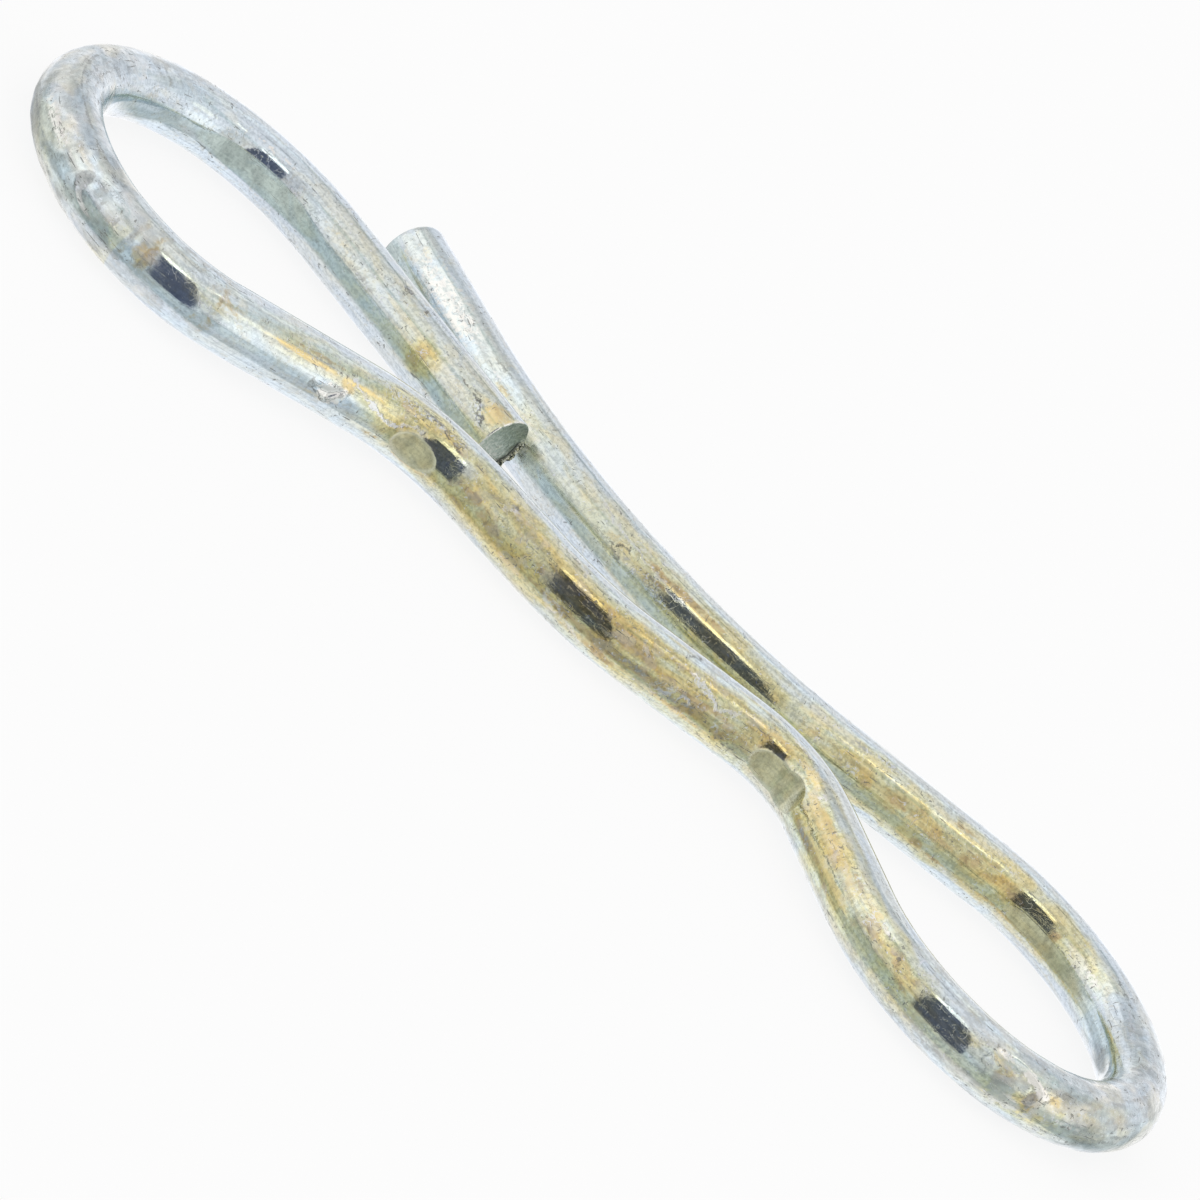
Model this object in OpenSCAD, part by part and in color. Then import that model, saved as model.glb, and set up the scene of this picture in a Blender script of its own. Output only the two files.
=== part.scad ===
// Bow-tie cotter pin: one length of round wire, bent in one plane and lying flat.
// From its short leg's end the wire goes back round the first loop, along the front through a neck,
// the shallow seat for the shaft and a tighter neck, round the second loop, and back behind the seat
// as the long leg, whose flared end goes through the shaft's cross hole.
// Each bend is placed from its neighbours by the straight run or the gap between them.
// X runs along the pin, the short leg and the front bar lie towards -Y, and Z = 0 is what it lies on.

/* [Wire] */
// Diameter of the round wire
wire_d = 3.2; // [2.4:0.1:4]
// How strongly the wire thins where it is bent: in a bend of radius R it loses this times wire_d / R
thinning = 0.05; // [0.03:0.01:0.2]

/* [Shaft seat] */
// Radius of the seat's inside face, against which the shaft lies
seat_r = 9.7; // [8:0.1:13]

/* [First neck] */
// Inside radius of the neck between the first loop and the seat
neck_1_r = 7.1; // [4:0.1:9]
// How far this neck stands round to the left of the seat's middle, in degrees
neck_1_lean = 23.6; // [20:0.1:28]
// Straight run between this neck and the seat
neck_1_run = 4.4; // [2:0.1:7]

/* [Second neck] */
// Inside radius of the neck between the seat and the second loop
neck_2_r = 2.9; // [2:0.1:5]
// How far this neck stands round to the right of the seat's middle, in degrees
neck_2_lean = 39.5; // [36:0.1:44]
// Straight run between the seat and this neck
neck_2_run = 6.6; // [4:0.1:9]

/* [Short leg] */
// Gap between the back of the first neck and the short leg's end
mouth_gap = 2.7; // [1.5:0.1:4]
// How far the short leg's end lies to the right of straight behind that neck, in degrees
short_end_lean = 5.8; // [0:0.1:12]
// Straight length of the short leg
short_leg_l = 12.7; // [9:0.1:15]
// How far its sheared end face is off square, in degrees
shear_lean = 6; // [0:0.5:12]

/* [First loop] */
// Inside radius of the loop's back part, next to the short leg
loop_1_back_r = 7.6; // [7:0.1:9]
// Inside radius of the loop's front part, next to the first neck
loop_1_front_r = 5.3; // [4.5:0.1:6.5]
// Place on the loop where the one radius gives way to the other, in degrees from +X
loop_1_change = 229.5; // [215:0.5:245]
// Straight run between the loop and the first neck
loop_1_run = 8.3; // [6:0.1:10]

/* [Long leg] */
// Inside radius of the long bend in the long leg
long_leg_r = 25; // [20:0.5:32]
// Gap between the back of the second neck and the long leg
throat_gap = 1.65; // [1:0.05:3]
// Gap between the short leg's end and the long leg
tip_gap = 0.2; // [0.2:0.05:1]
// How far the long leg's end points away from the pin's length, in degrees
flare = 39.7; // [34:0.1:45]
// Straight length of the long leg's end
long_end_l = 6.7; // [5:0.1:12]

/* [Second loop] */
// Inside radius of the second loop
loop_2_r = 6.9; // [5.5:0.1:8]
// Straight run between the second neck and the loop
loop_2_front_run = 5.7; // [4:0.1:8]
// Straight run between the loop and the long leg's bend
loop_2_back_run = 9.6; // [7:0.1:12]

/* [Marks of the bending tools] */
// Radius of the bending pin that marked the first neck
neck_1_pin_r = 2.5; // [1.5:0.1:4]
// Place of that mark round the neck, in degrees from +X
neck_1_mark_at = 102; // [95:1:108]
// Depth of that mark
neck_1_mark_depth = 0.2; // [0.1:0.05:0.3]
// Radius of the bending pin that marked the second neck
neck_2_pin_r = 1.8; // [1.2:0.1:2.4]
// Place of that mark round the neck, in degrees from +X
neck_2_mark_at = 82; // [76:1:86]
// Depth of that mark
neck_2_mark_depth = 0.16; // [0.1:0.02:0.24]
// Place of the second, narrow mark beside it, in degrees from +X
neck_2_nick_at = 50; // [47:1:54]
// Depth of the narrow mark
neck_2_nick_depth = 0.07; // [0.03:0.01:0.1]
// Radius of the mandrel that the first loop was wound on
loop_1_mandrel_r = 6.8; // [6.2:0.1:7.1]
// Place of the flat that it left inside the loop, in degrees from +X
loop_1_flat_at = 95; // [85:1:105]
// Depth of that flat
loop_1_flat_depth = 0.14; // [0.06:0.02:0.2]
// Radius of the mandrel that the second loop was wound on
loop_2_mandrel_r = 6.5; // [5.8:0.1:6.7]
// Place of the flat that it left inside the loop, in degrees from +X
loop_2_flat_at = 77; // [67:1:87]
// Depth of that flat
loop_2_flat_depth = 0.08; // [0.04:0.02:0.14]

/* [Hidden] */
$fn = 72;
wire_r = wire_d / 2;
behind = 90;
in_front = -90;
left = 1;
right = -1;

// A bend is [middle, radius of the wire's centreline, way it turns]; a free end is a bend of radius 0.
// Headings are in degrees from +X, going from the short leg's end to the long leg's end.
function polar(distance, angle) = distance * [cos(angle), sin(angle)];
function middle(bend) = bend[0];
function radius(bend) = bend[1];
function turn(bend) = bend[2];
function full_turns(angle) = 360 * floor(angle / 360);

// Distance between the middles of two bends that turn opposite ways, with a straight run between them
function apart(radius_a, radius_b, run) = norm([radius_a + radius_b, run]);

// The point that is p_distance from p and q_distance from q, on one side of the line from p to q
function meet(p, p_distance, q, q_distance, side) =
    let (
        line = q - p,
        along = (norm(line) ^ 2 + p_distance ^ 2 - q_distance ^ 2) / (2 * norm(line)),
        across = sqrt(p_distance ^ 2 - along ^ 2)
    )
    p + (along * line + side * across * [-line.y, line.x]) / norm(line);

// Heading of the straight run that leaves one bend and joins the next
function heading(bend, next) =
    let (
        line = middle(next) - middle(bend),
        rise = (turn(next) * radius(next) - turn(bend) * radius(bend)) / norm(line)
    )
    atan2(line.y, line.x) - asin(min(max(rise, -1), 1));

// The point of a bend's centreline where the wire has a given heading
function point_on(bend, angle) = middle(bend) + turn(bend) * radius(bend) * [sin(angle), -cos(angle)];

// The bends, each placed from those that it touches
seat = [[0, 0], seat_r + wire_r, left];
neck_1_bend = neck_1_r + wire_r;
neck_2_bend = neck_2_r + wire_r;
loop_1_back_bend = loop_1_back_r + wire_r;
loop_1_front_bend = loop_1_front_r + wire_r;
loop_2_bend = loop_2_r + wire_r;
long_leg_bend = long_leg_r + wire_r;

neck_1 = [polar(apart(radius(seat), neck_1_bend, neck_1_run), in_front - neck_1_lean), neck_1_bend, right];
neck_2 = [polar(apart(radius(seat), neck_2_bend, neck_2_run), in_front + neck_2_lean), neck_2_bend, right];

short_end_place = middle(neck_1)
    + polar(neck_1_bend + wire_d + mouth_gap, behind - short_end_lean);
short_end = [short_end_place, 0, left];

loop_step = polar(loop_1_back_bend - loop_1_front_bend, loop_1_change + 180);
loop_1_front_place = meet(
    middle(neck_1), apart(loop_1_front_bend, neck_1_bend, loop_1_run),
    short_end_place - loop_step, norm([loop_1_back_bend, short_leg_l]), left);
loop_1_front = [loop_1_front_place, loop_1_front_bend, left];
loop_1_back = [loop_1_front_place + loop_step, loop_1_back_bend, left];

long_bend_place = meet(
    middle(neck_2), neck_2_bend + long_leg_bend + wire_d + throat_gap,
    short_end_place, long_leg_bend + wire_d + tip_gap, right);
long_bend = [long_bend_place, long_leg_bend, right];

loop_2_place = meet(
    middle(neck_2), apart(neck_2_bend, loop_2_bend, loop_2_front_run),
    long_bend_place, apart(loop_2_bend, long_leg_bend, loop_2_back_run), right);
loop_2 = [loop_2_place, loop_2_bend, left];

end_heading = 180 - flare;
long_end = [point_on(long_bend, end_heading) + polar(long_end_l, end_heading), 0, right];

bends = [short_end, loop_1_back, loop_1_front, neck_1, seat, neck_2, loop_2, long_bend, long_end];
last_run = len(bends) - 2;
headings = [for (i = [0 : last_run]) heading(bends[i], bends[i + 1])];

// A straight run reaches this far into the thinner bends at its ends, and then tapers by this much
lap = 0.05;
shoulder_l = 0.2;
shoulder_drop = 0.05;
// What the shears need beyond the short leg's end, to leave a whole sloping face
shear_stock = 2 * wire_r * tan(shear_lean);

// Each mark is [bend, place round it, radius of the pin or mandrel, depth]
marks = [
    [loop_1_back, loop_1_flat_at, loop_1_mandrel_r, loop_1_flat_depth],
    [neck_1, neck_1_mark_at, neck_1_pin_r, neck_1_mark_depth],
    [neck_2, neck_2_mark_at, neck_2_pin_r, neck_2_mark_depth],
    [neck_2, neck_2_nick_at, neck_2_pin_r, neck_2_nick_depth],
    [loop_2, loop_2_flat_at, loop_2_mandrel_r, loop_2_flat_depth],
];

// The pin's extent, to set its middle over the origin
left_reach = middle(loop_1_back).x - loop_1_back_bend - wire_r;
right_reach = loop_2_place.x + loop_2_bend + wire_r;
front_reach = min(loop_1_front_place.y - loop_1_front_bend, loop_2_place.y - loop_2_bend) - wire_r;
back_reach = middle(long_end).y + wire_r * cos(flare);

module shoulder() {
    cylinder(r1 = wire_r, r2 = wire_r - shoulder_drop, h = shoulder_l);
}

module straight_run(i) {
    before = i == 0 ? shear_stock : lap;
    after = i == last_run ? 0 : lap;
    length = before + norm(point_on(bends[i + 1], headings[i]) - point_on(bends[i], headings[i])) + after;
    translate(point_on(bends[i], headings[i]))
        rotate([0, 90, headings[i]])
            translate([0, 0, -before]) {
                cylinder(d = wire_d, h = length);
                if (i > 0) mirror([0, 0, 1]) shoulder();
                if (i < last_run) translate([0, 0, length]) shoulder();
            }
}

// What a round bending tool standing on the plane pressed out of the inside of a bend
module tool_mark(mark) {
    inside = radius(mark[0]) - wire_r;
    translate(middle(mark[0]) + polar(inside + mark[3] - mark[2], mark[1]))
        cylinder(r = mark[2], h = 2 * wire_d, center = true);
}

module bent_run(i) {
    bend = bends[i];
    turned = turn(bend) * (headings[i] - headings[i - 1]);
    start = turn(bend) == left ? headings[i - 1] - 90 : headings[i] + 90;
    difference() {
        translate(middle(bend))
            rotate(start)
                rotate_extrude(angle = turned - full_turns(turned))
                    translate([radius(bend), 0])
                        circle(d = wire_d * (1 - thinning / radius(bend)));
        for (mark = marks)
            if (mark[0] == bend) tool_mark(mark);
    }
}

// The short leg, with what the shears took off it, so that its face leans towards the front
module short_leg() {
    difference() {
        straight_run(0);
        translate(short_end_place)
            rotate(headings[0] - shear_lean)
                translate([-wire_d, 0, 0])
                    cube(2 * wire_d, center = true);
    }
}

module wire_pin() {
    color("silver")
        translate([-(left_reach + right_reach) / 2, -(front_reach + back_reach) / 2, wire_r]) {
            short_leg();
            for (i = [1 : last_run]) {
                bent_run(i);
                straight_run(i);
            }
        }
}

wire_pin();
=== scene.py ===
# %% [markdown]
# # A bow-tie cotter pin in Blender
# This pin is one length of round steel wire, bent in one plane. It has a loop at each end, two necks and
# a shallow seat between them, and a long leg that goes through the cross hole of a shaft.
# The lesson bends the wire from a bending schedule, presses in the marks that the tools left, and
# then gives it its zinc plating with the yellow-brown film that chromate leaves on zinc.
#
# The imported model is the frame: it says how big the pin is and where it lies. We load it first. All our
# own sizes are in millimetres, and `MM` turns them into Blender's metres.

# %% Load the frame
import math

import bpy
import numpy as np
from mathutils import Matrix, Vector


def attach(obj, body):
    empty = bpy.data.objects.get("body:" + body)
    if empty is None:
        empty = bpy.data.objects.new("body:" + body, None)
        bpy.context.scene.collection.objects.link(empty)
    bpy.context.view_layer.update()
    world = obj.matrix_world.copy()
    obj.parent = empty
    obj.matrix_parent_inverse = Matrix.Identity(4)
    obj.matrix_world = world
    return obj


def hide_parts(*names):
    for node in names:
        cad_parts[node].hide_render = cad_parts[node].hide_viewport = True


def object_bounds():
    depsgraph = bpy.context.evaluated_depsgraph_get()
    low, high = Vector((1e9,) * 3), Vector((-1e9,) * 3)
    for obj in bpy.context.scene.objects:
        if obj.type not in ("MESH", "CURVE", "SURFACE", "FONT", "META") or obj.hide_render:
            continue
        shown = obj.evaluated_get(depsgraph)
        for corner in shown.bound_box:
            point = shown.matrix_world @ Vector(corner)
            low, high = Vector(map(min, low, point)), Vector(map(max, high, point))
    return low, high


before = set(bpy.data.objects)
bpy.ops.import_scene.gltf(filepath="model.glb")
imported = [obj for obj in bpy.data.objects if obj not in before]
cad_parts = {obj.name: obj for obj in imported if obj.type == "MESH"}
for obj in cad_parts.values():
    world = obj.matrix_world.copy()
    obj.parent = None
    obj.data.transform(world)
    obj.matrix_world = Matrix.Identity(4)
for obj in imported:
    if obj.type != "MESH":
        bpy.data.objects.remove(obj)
cad_low, cad_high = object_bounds()
MM = 0.001
middle = (Vector(cad_low) + Vector(cad_high)) / 2
wire_d = (cad_high[2] - cad_low[2]) / MM
wire_r = wire_d / 2
print(f"wire of {wire_d:.2f} mm, box {(cad_high[0] - cad_low[0]) / MM:.1f} mm long")

# %% [markdown]
# ## The camera
# A long lens from far away keeps the pin's proportions, as a product picture does. The camera looks down
# at about 21 degrees, almost square to the front of the pin. It is rolled by 45 degrees, so that the pin
# runs from the upper left to the lower right of a square picture.
# We could aim the camera with a Track To constraint, but a roll is easier to say when we build its three
# axes ourselves: `back` points from the pin to the camera, and the other two lie in the picture.

# %% The camera's axes
view_azimuth = math.radians(-4.51)
view_elevation = math.radians(21.13)
view_roll = math.radians(45.04)

back = Vector((
    math.sin(view_azimuth) * math.cos(view_elevation),
    -math.cos(view_azimuth) * math.cos(view_elevation),
    math.sin(view_elevation),
))
level = Vector((math.cos(view_azimuth), math.sin(view_azimuth), 0))
rise = back.cross(level)
picture_right = math.cos(view_roll) * level + math.sin(view_roll) * rise
picture_up = back.cross(picture_right)
print("camera looks along", [round(-part, 3) for part in back])

# %% Camera
view_distance = 409.7 * MM
aim = Vector((-0.085, -3.39, 1.6)) * MM

camera_data = bpy.data.cameras.new("camera")
camera_data.sensor_width = 36
camera_data.lens = 280.14
camera_data.clip_start = 0.01
camera_data.clip_end = 10
camera = bpy.data.objects.new("camera", camera_data)
turned = Matrix((picture_right, picture_up, back)).transposed().to_4x4()
camera.matrix_world = Matrix.Translation(aim + back * view_distance) @ turned
bpy.context.scene.collection.objects.link(camera)
bpy.context.scene.camera = camera
print(f"camera {view_distance:.3f} m away, lens {camera_data.lens:.0f} mm")

# %% [markdown]
# ## Helpers for node trees
# The light, the floor and the finish of the wire are all node trees. A few helpers keep them readable:
# each one adds a node, plugs in what it is given, whether that is a socket or a plain number, and hands
# back its result, so that a tree reads like a sum.

# %% Nodes and sockets
def node(tree, kind, **settings):
    """Adds a node and sets its properties."""
    made = tree.nodes.new(kind)
    for name, value in settings.items():
        setattr(made, name, value)
    return made


def plug(tree, source, target):
    """Links a socket, or puts a plain number or colour on the target."""
    if isinstance(source, bpy.types.NodeSocket):
        tree.links.new(source, target)
    else:
        target.default_value = source


# %% Sums, soft steps, mixes and ramps
def math_node(tree, operation, a, b=0.0, c=0.0, clamp=False):
    """A sum such as a + b, a * b, or a * b + c."""
    made = node(tree, "ShaderNodeMath", operation=operation, use_clamp=clamp)
    for socket, value in zip(made.inputs, (a, b, c)):
        plug(tree, value, socket)
    return made.outputs[0]


def step_up(tree, value, start, end, low=0.0, high=1.0):
    """A soft step from low to high, as value goes from start to end."""
    made = node(tree, "ShaderNodeMapRange", interpolation_type="SMOOTHSTEP")
    for name, number in (("From Min", start), ("From Max", end), ("To Min", low), ("To Max", high)):
        made.inputs[name].default_value = number
    plug(tree, value, made.inputs["Value"])
    return made.outputs["Result"]


def mix_colour(tree, amount, first, second, blend="MIX"):
    """The first colour where amount is 0, and the second where it is 1."""
    made = node(tree, "ShaderNodeMix", data_type="RGBA", blend_type=blend)
    for socket, value in zip((made.inputs[0], made.inputs[6], made.inputs[7]), (amount, first, second)):
        plug(tree, value, socket)
    return made.outputs[2]


def ramp(tree, value, stops):
    """Colours at places from 0 to 1, with straight steps between them."""
    made = node(tree, "ShaderNodeValToRGB")
    elements = made.color_ramp.elements
    while len(elements) < len(stops):
        elements.new(0.5)
    for element, (where, colour) in zip(elements, stops):
        element.position = where
        element.color = (*colour, 1)
    plug(tree, value, made.inputs[0])
    return made.outputs[0]


# %% [markdown]
# ## The light tent
# Shiny metal has hardly any colour of its own: it shows what stands around it. Small metal parts are
# therefore pictured in a white tent, and the pin mirrors its cloth, its seams and its horizon.
# We could hang lamps round the pin, but a world shader that depends only on the direction is simpler and
# has no noise. First we turn each direction into two angles: how far round it is from the front, and how
# high it is.

# %% Directions in the tent
world = bpy.data.worlds.new("light_tent")
bpy.context.scene.world = world
world.use_nodes = True
tent = world.node_tree
tent.nodes.clear()
direction = node(tent, "ShaderNodeSeparateXYZ")
plug(tent, node(tent, "ShaderNodeTexCoord").outputs["Generated"], direction.inputs[0])
east, north, high = direction.outputs
south = math_node(tent, "MULTIPLY", north, -1.0)
azimuth = math_node(tent, "DEGREES", math_node(tent, "ARCTAN2", east, south))
from_front = math_node(tent, "ABSOLUTE", azimuth)
elevation = math_node(tent, "DEGREES", math_node(tent, "ARCSINE", high))
by_height = math_node(tent, "DIVIDE", math_node(tent, "ADD", elevation, 90.0), 180.0)
print(f"{len(tent.nodes)} nodes give the direction")

# %% [markdown]
# ### The cloth
# Three ramps give the cloth's brightness from straight below to straight above: in front, at the sides and
# behind. The sharp steps matter most. At the horizon the table ends and the cloth begins, and each bar of
# the pin shows that step as a crisp line along its length.

# %% The tent's cloth
DAY = (1.02, 1.0, 1.01)
SHADE = (0.92, 1.0, 1.0)
# height in degrees, brightness, tint
front_cloth = [
    (-90, 0.92, DAY), (-75, 0.88, DAY), (-64, 0.92, DAY), (-53, 0.78, DAY), (-46, 0.58, SHADE),
    (-38, 0.64, SHADE), (-4, 0.66, SHADE), (20, 0.64, DAY), (40, 0.60, DAY), (56, 0.64, DAY),
    (68, 0.68, DAY), (79, 0.86, DAY), (90, 0.88, DAY),
]
side_cloth = [
    (-90, 0.92, DAY), (-62, 0.93, DAY), (-56, 0.90, DAY), (-51, 0.82, DAY), (-47, 0.62, SHADE),
    (-40, 0.57, SHADE), (-30, 0.61, SHADE), (-20, 0.57, SHADE), (-12, 0.59, SHADE), (-7, 0.54, SHADE),
    (-3.5, 0.51, SHADE), (-2.5, 0.42, SHADE), (-0.5, 0.42, SHADE), (0.8, 0.62, DAY), (3, 0.72, DAY),
    (6, 0.82, DAY), (12, 0.88, DAY), (26, 0.98, DAY), (42, 0.99, DAY), (51, 0.91, DAY),
    (57, 0.73, SHADE), (62, 0.90, DAY), (76, 0.85, DAY), (90, 0.88, DAY),
]
back_cloth = [
    (-90, 0.92, DAY), (-66, 0.90, DAY), (-54, 0.96, DAY), (-40, 1.06, DAY), (-10, 1.12, DAY),
    (3, 1.14, DAY), (9, 0.98, DAY), (15, 0.88, DAY), (21, 0.82, DAY), (34, 0.92, DAY), (39, 0.90, DAY),
    (43.5, 0.84, DAY), (46, 0.50, SHADE), (48.5, 0.50, SHADE), (52, 0.72, DAY), (56, 0.76, DAY),
    (66, 0.80, DAY), (78, 0.86, DAY), (90, 0.88, DAY),
]
# degrees from the front over which one cloth gives way to the next
front_to_side = (20, 38)
side_to_back = (128, 158)


def cloth(levels):
    """Brightness by height, for one side of the tent."""
    stops = [((height + 90) / 180, [bright * part for part in tint]) for height, bright, tint in levels]
    return ramp(tent, by_height, stops)


light = mix_colour(tent, step_up(tent, from_front, *front_to_side), cloth(front_cloth), cloth(side_cloth))
light = mix_colour(tent, step_up(tent, from_front, *side_to_back), light, cloth(back_cloth))
print(f"{len(front_cloth) + len(side_cloth) + len(back_cloth)} levels of cloth")

# %% [markdown]
# ### Patches of light on the cloth
# A real tent isn't even. It has lamps behind the cloth on the left and right, folds, and steps where the
# paper on the table ends. Each patch below is a rectangle of directions with soft edges. Together they give
# the bars their broken light and dark bands, and no lamp has to be placed.

# %% Patches on the cloth
def patch_of_light(light, place, across, low, top, soft_edge, colour):
    """Lays a soft rectangle on the cloth, at an azimuth from the front and from low to top."""
    off = math_node(tent, "ABSOLUTE", math_node(tent, "SUBTRACT", azimuth, place))
    sides = step_up(tent, off, across + soft_edge / 2, across - soft_edge / 2)
    above = step_up(tent, elevation, low - soft_edge / 2, low + soft_edge / 2)
    below = step_up(tent, elevation, top + soft_edge / 2, top - soft_edge / 2)
    mask = math_node(tent, "MULTIPLY", sides, math_node(tent, "MULTIPLY", above, below))
    return mix_colour(tent, mask, light, (*colour, 1))


# azimuth, half width, lowest, top and soft edge in degrees, colour
cloth_patches = [
    # dull cloth behind on the left
    (-148, 25, 20, 50, 10, (0.68, 0.68, 0.69)),
    (-165, 12, 17, 34, 8, (0.71, 0.72, 0.73)),
    (-142, 26, -38, -19, 8, (0.53, 0.54, 0.55)),
    (-155, 18, -12, 6, 6, (0.82, 0.82, 0.82)),
    # the lamps on the left, and the pale strips below them
    (-98, 24, 47, 66, 8, (1.13, 1.13, 1.13)),
    (-75, 18, 16, 44, 18, (1.14, 1.14, 1.14)),
    (-102, 26, -38, -22, 8, (0.65, 0.69, 0.69)),
    (-102, 26, -22, -7, 7, (0.86, 0.90, 0.90)),
    (-102, 26, -7, 6, 5, (0.98, 1.00, 1.00)),
    (-112, 24, -54, -40, 6, (0.98, 1.00, 1.00)),
    (-72, 12, -54, -27, 8, (0.64, 0.69, 0.69)),
    (-45, 10, -40, -3, 6, (0.52, 0.59, 0.59)),
    # the viewer's side
    (-28, 9, 14, 50, 10, (0.88, 0.88, 0.87)),
    (12, 14, 16, 46, 10, (0.76, 0.75, 0.74)),
    (22, 12, 52, 68, 8, (0.86, 0.84, 0.80)),
    (28, 9, -10, 12, 6, (0.84, 0.87, 0.87)),
    (44, 10, 6, 46, 8, (0.74, 0.74, 0.73)),
    # the lamp on the right, and duller cloth past it
    (68, 15, 4, 30, 8, (1.16, 1.16, 1.16)),
    (100, 22, 34, 53, 8, (0.82, 0.83, 0.83)),
    (132, 14, 34, 53, 8, (0.72, 0.73, 0.73)),
    (166, 14, 46, 60, 6, (0.96, 0.96, 0.96)),
    # steps of the table low on the right
    (66, 15, -40, -22, 8, (0.64, 0.66, 0.67)),
    (66, 15, -22, -2, 8, (0.72, 0.77, 0.78)),
    (66, 13, -2, 5, 4, (1.00, 1.02, 1.02)),
    (80, 18, -80, -42, 6, (0.99, 0.99, 1.00)),
    (118, 20, -20, -6, 8, (0.66, 0.69, 0.69)),
    (118, 24, -5, 6, 5, (0.92, 0.94, 0.94)),
    (135, 32, -80, -40, 8, (1.05, 1.05, 1.06)),
    # a warm glow and a bright slit high on the right
    (80, 11, 37, 46, 6, (1.22, 1.18, 1.06)),
    (75, 11, 64.4, 67.4, 1.2, (1.60, 1.55, 1.40)),
]
for patch in cloth_patches:
    light = patch_of_light(light, *patch)
print(f"{len(cloth_patches)} patches of light")

# %% [markdown]
# ### What the camera sees behind the pin
# The tent is for reflections and for light. The camera itself sees plain white behind the pin.

# %% Close the tent
seen = node(tent, "ShaderNodeLightPath").outputs["Is Camera Ray"]
light = mix_colour(tent, seen, light, (1, 1, 1, 1))
background = node(tent, "ShaderNodeBackground")
plug(tent, light, background.inputs["Color"])
tent_out = node(tent, "ShaderNodeOutputWorld")
plug(tent, background.outputs[0], tent_out.inputs["Surface"])
print(f"light tent with {len(tent.nodes)} nodes")

# %% [markdown]
# ## Cards near the pin
# In front of the tent's cloth stands a dark card, with a lamp above it. The pin mirrors the card
# as a dark patch in each bend, and the lamp as a bright strip just above the patch. They stand so near that
# they can't be in the world: each bend sees them from a different place. Area lamps would do for the bright
# one, but they would also light the pin. So all three are planes that only reflections can see, and they
# belong to the studio, not to the pin.

# %% Dark card, lamp and gap in the roof
def card(name, corner, along, rise_by, brightness):
    """A glowing plane from a corner in mm, that nothing but reflections sees."""
    corner, along, rise_by = (np.array(part, float) for part in (corner, along, rise_by))
    corners = [corner, corner + along, corner + along + rise_by, corner + rise_by]
    mesh = bpy.data.meshes.new(name)
    mesh.from_pydata([tuple(point * MM) for point in corners], [], [(0, 1, 2, 3)])
    plane = bpy.data.objects.new(name, mesh)
    bpy.context.scene.collection.objects.link(plane)
    plane.visible_camera = False
    plane.visible_diffuse = False
    plane.visible_shadow = False
    plane.visible_transmission = False
    finish = bpy.data.materials.new(name)
    finish.use_nodes = True
    tree = finish.node_tree
    tree.nodes.clear()
    glow = node(tree, "ShaderNodeEmission")
    glow.inputs["Color"].default_value = (*brightness, 1)
    plug(tree, glow.outputs[0], node(tree, "ShaderNodeOutputMaterial").inputs["Surface"])
    mesh.materials.append(finish)
    return plane


# name, a lower corner, the way along and the way up or back, all in mm, and the colour of the glow
cards = [
    card("dark_card", (-25.8, -134.5, -29.6), (76.3, 10.0, 0), (0, 0, 236), (0.102, 0.118, 0.168)),
    card("strip_lamp", (-27.0, -134.5, 207.0), (78.0, 10.0, 0), (0, 0, 115), (1.6, 1.6, 1.5)),
    card("roof_gap", (-15.0, 96.0, 370.0), (60.0, 0, 0), (0, 14.0, 0), (0.2, 0.22, 0.23)),
]
print("in place:", ", ".join(plane.name for plane in cards))

# %% [markdown]
# ## The floor
# The pin lies on a plain white sheet, which shows its soft shadow. A sheet of white paint alone would need
# strong light to look white, and that light would fall on the pin as well. So most of what the camera sees
# of the sheet is a plain white glow.

# %% Floor
floor_half = 2.0
floor_mesh = bpy.data.meshes.new("floor")
floor_mesh.from_pydata(
    [(-floor_half, -floor_half, 0), (floor_half, -floor_half, 0), (floor_half, floor_half, 0),
     (-floor_half, floor_half, 0)],
    [], [(0, 1, 2, 3)])
floor = bpy.data.objects.new("floor", floor_mesh)
bpy.context.scene.collection.objects.link(floor)
floor.visible_glossy = False
print(f"floor of {2 * floor_half:.0f} m")

# %% White sheet
sheet_white = 0.95
glow_share = 0.86
paper = bpy.data.materials.new("white_sheet")
paper.use_nodes = True
sheet = paper.node_tree
sheet.nodes.clear()
diffuse = node(sheet, "ShaderNodeBsdfDiffuse")
diffuse.inputs["Color"].default_value = (sheet_white, sheet_white, sheet_white, 1)
glow = node(sheet, "ShaderNodeEmission")
both = node(sheet, "ShaderNodeMixShader")
camera_ray = node(sheet, "ShaderNodeLightPath").outputs["Is Camera Ray"]
plug(sheet, math_node(sheet, "MULTIPLY", camera_ray, glow_share), both.inputs[0])
plug(sheet, diffuse.outputs[0], both.inputs[1])
plug(sheet, glow.outputs[0], both.inputs[2])
plug(sheet, both.outputs[0], node(sheet, "ShaderNodeOutputMaterial").inputs["Surface"])
floor_mesh.materials.append(paper)
print(f"white sheet, {glow_share:.0%} of it a glow for the camera")

# %% [markdown]
# ## Bending the wire
# A wire former works from a schedule: so much straight wire, then so many degrees round a forming pin of
# that radius, to the left or to the right. We do the same. A Bezier curve with a round bevel could carry
# the same shape, but its bends would be drawn by eye. The schedule gives true arcs.

# %% Bending schedule
first_heading = 158.158
# name, straight wire before the bend, its inside radius, and its turn in degrees, + to the left
bends = [
    ("first loop, back part", 12.7, 7.6, 161.342),
    ("first loop, front part", 0.0, 5.3, 72.010),
    ("first neck", 8.3, 7.1, -42.703),
    ("seat for the shaft", 4.4, 9.7, 28.021),
    ("second neck", 6.6, 2.9, -67.136),
    ("second loop", 5.7, 6.9, 244.078),
    ("bend of the long leg", 9.6, 25.0, -53.470),
]
long_end = 6.7
for name, run, inside, turn in bends:
    print(f"{name:23s} after {run:4.1f} mm, inside radius {inside:4.1f} mm, {turn:7.1f} degrees")

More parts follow.
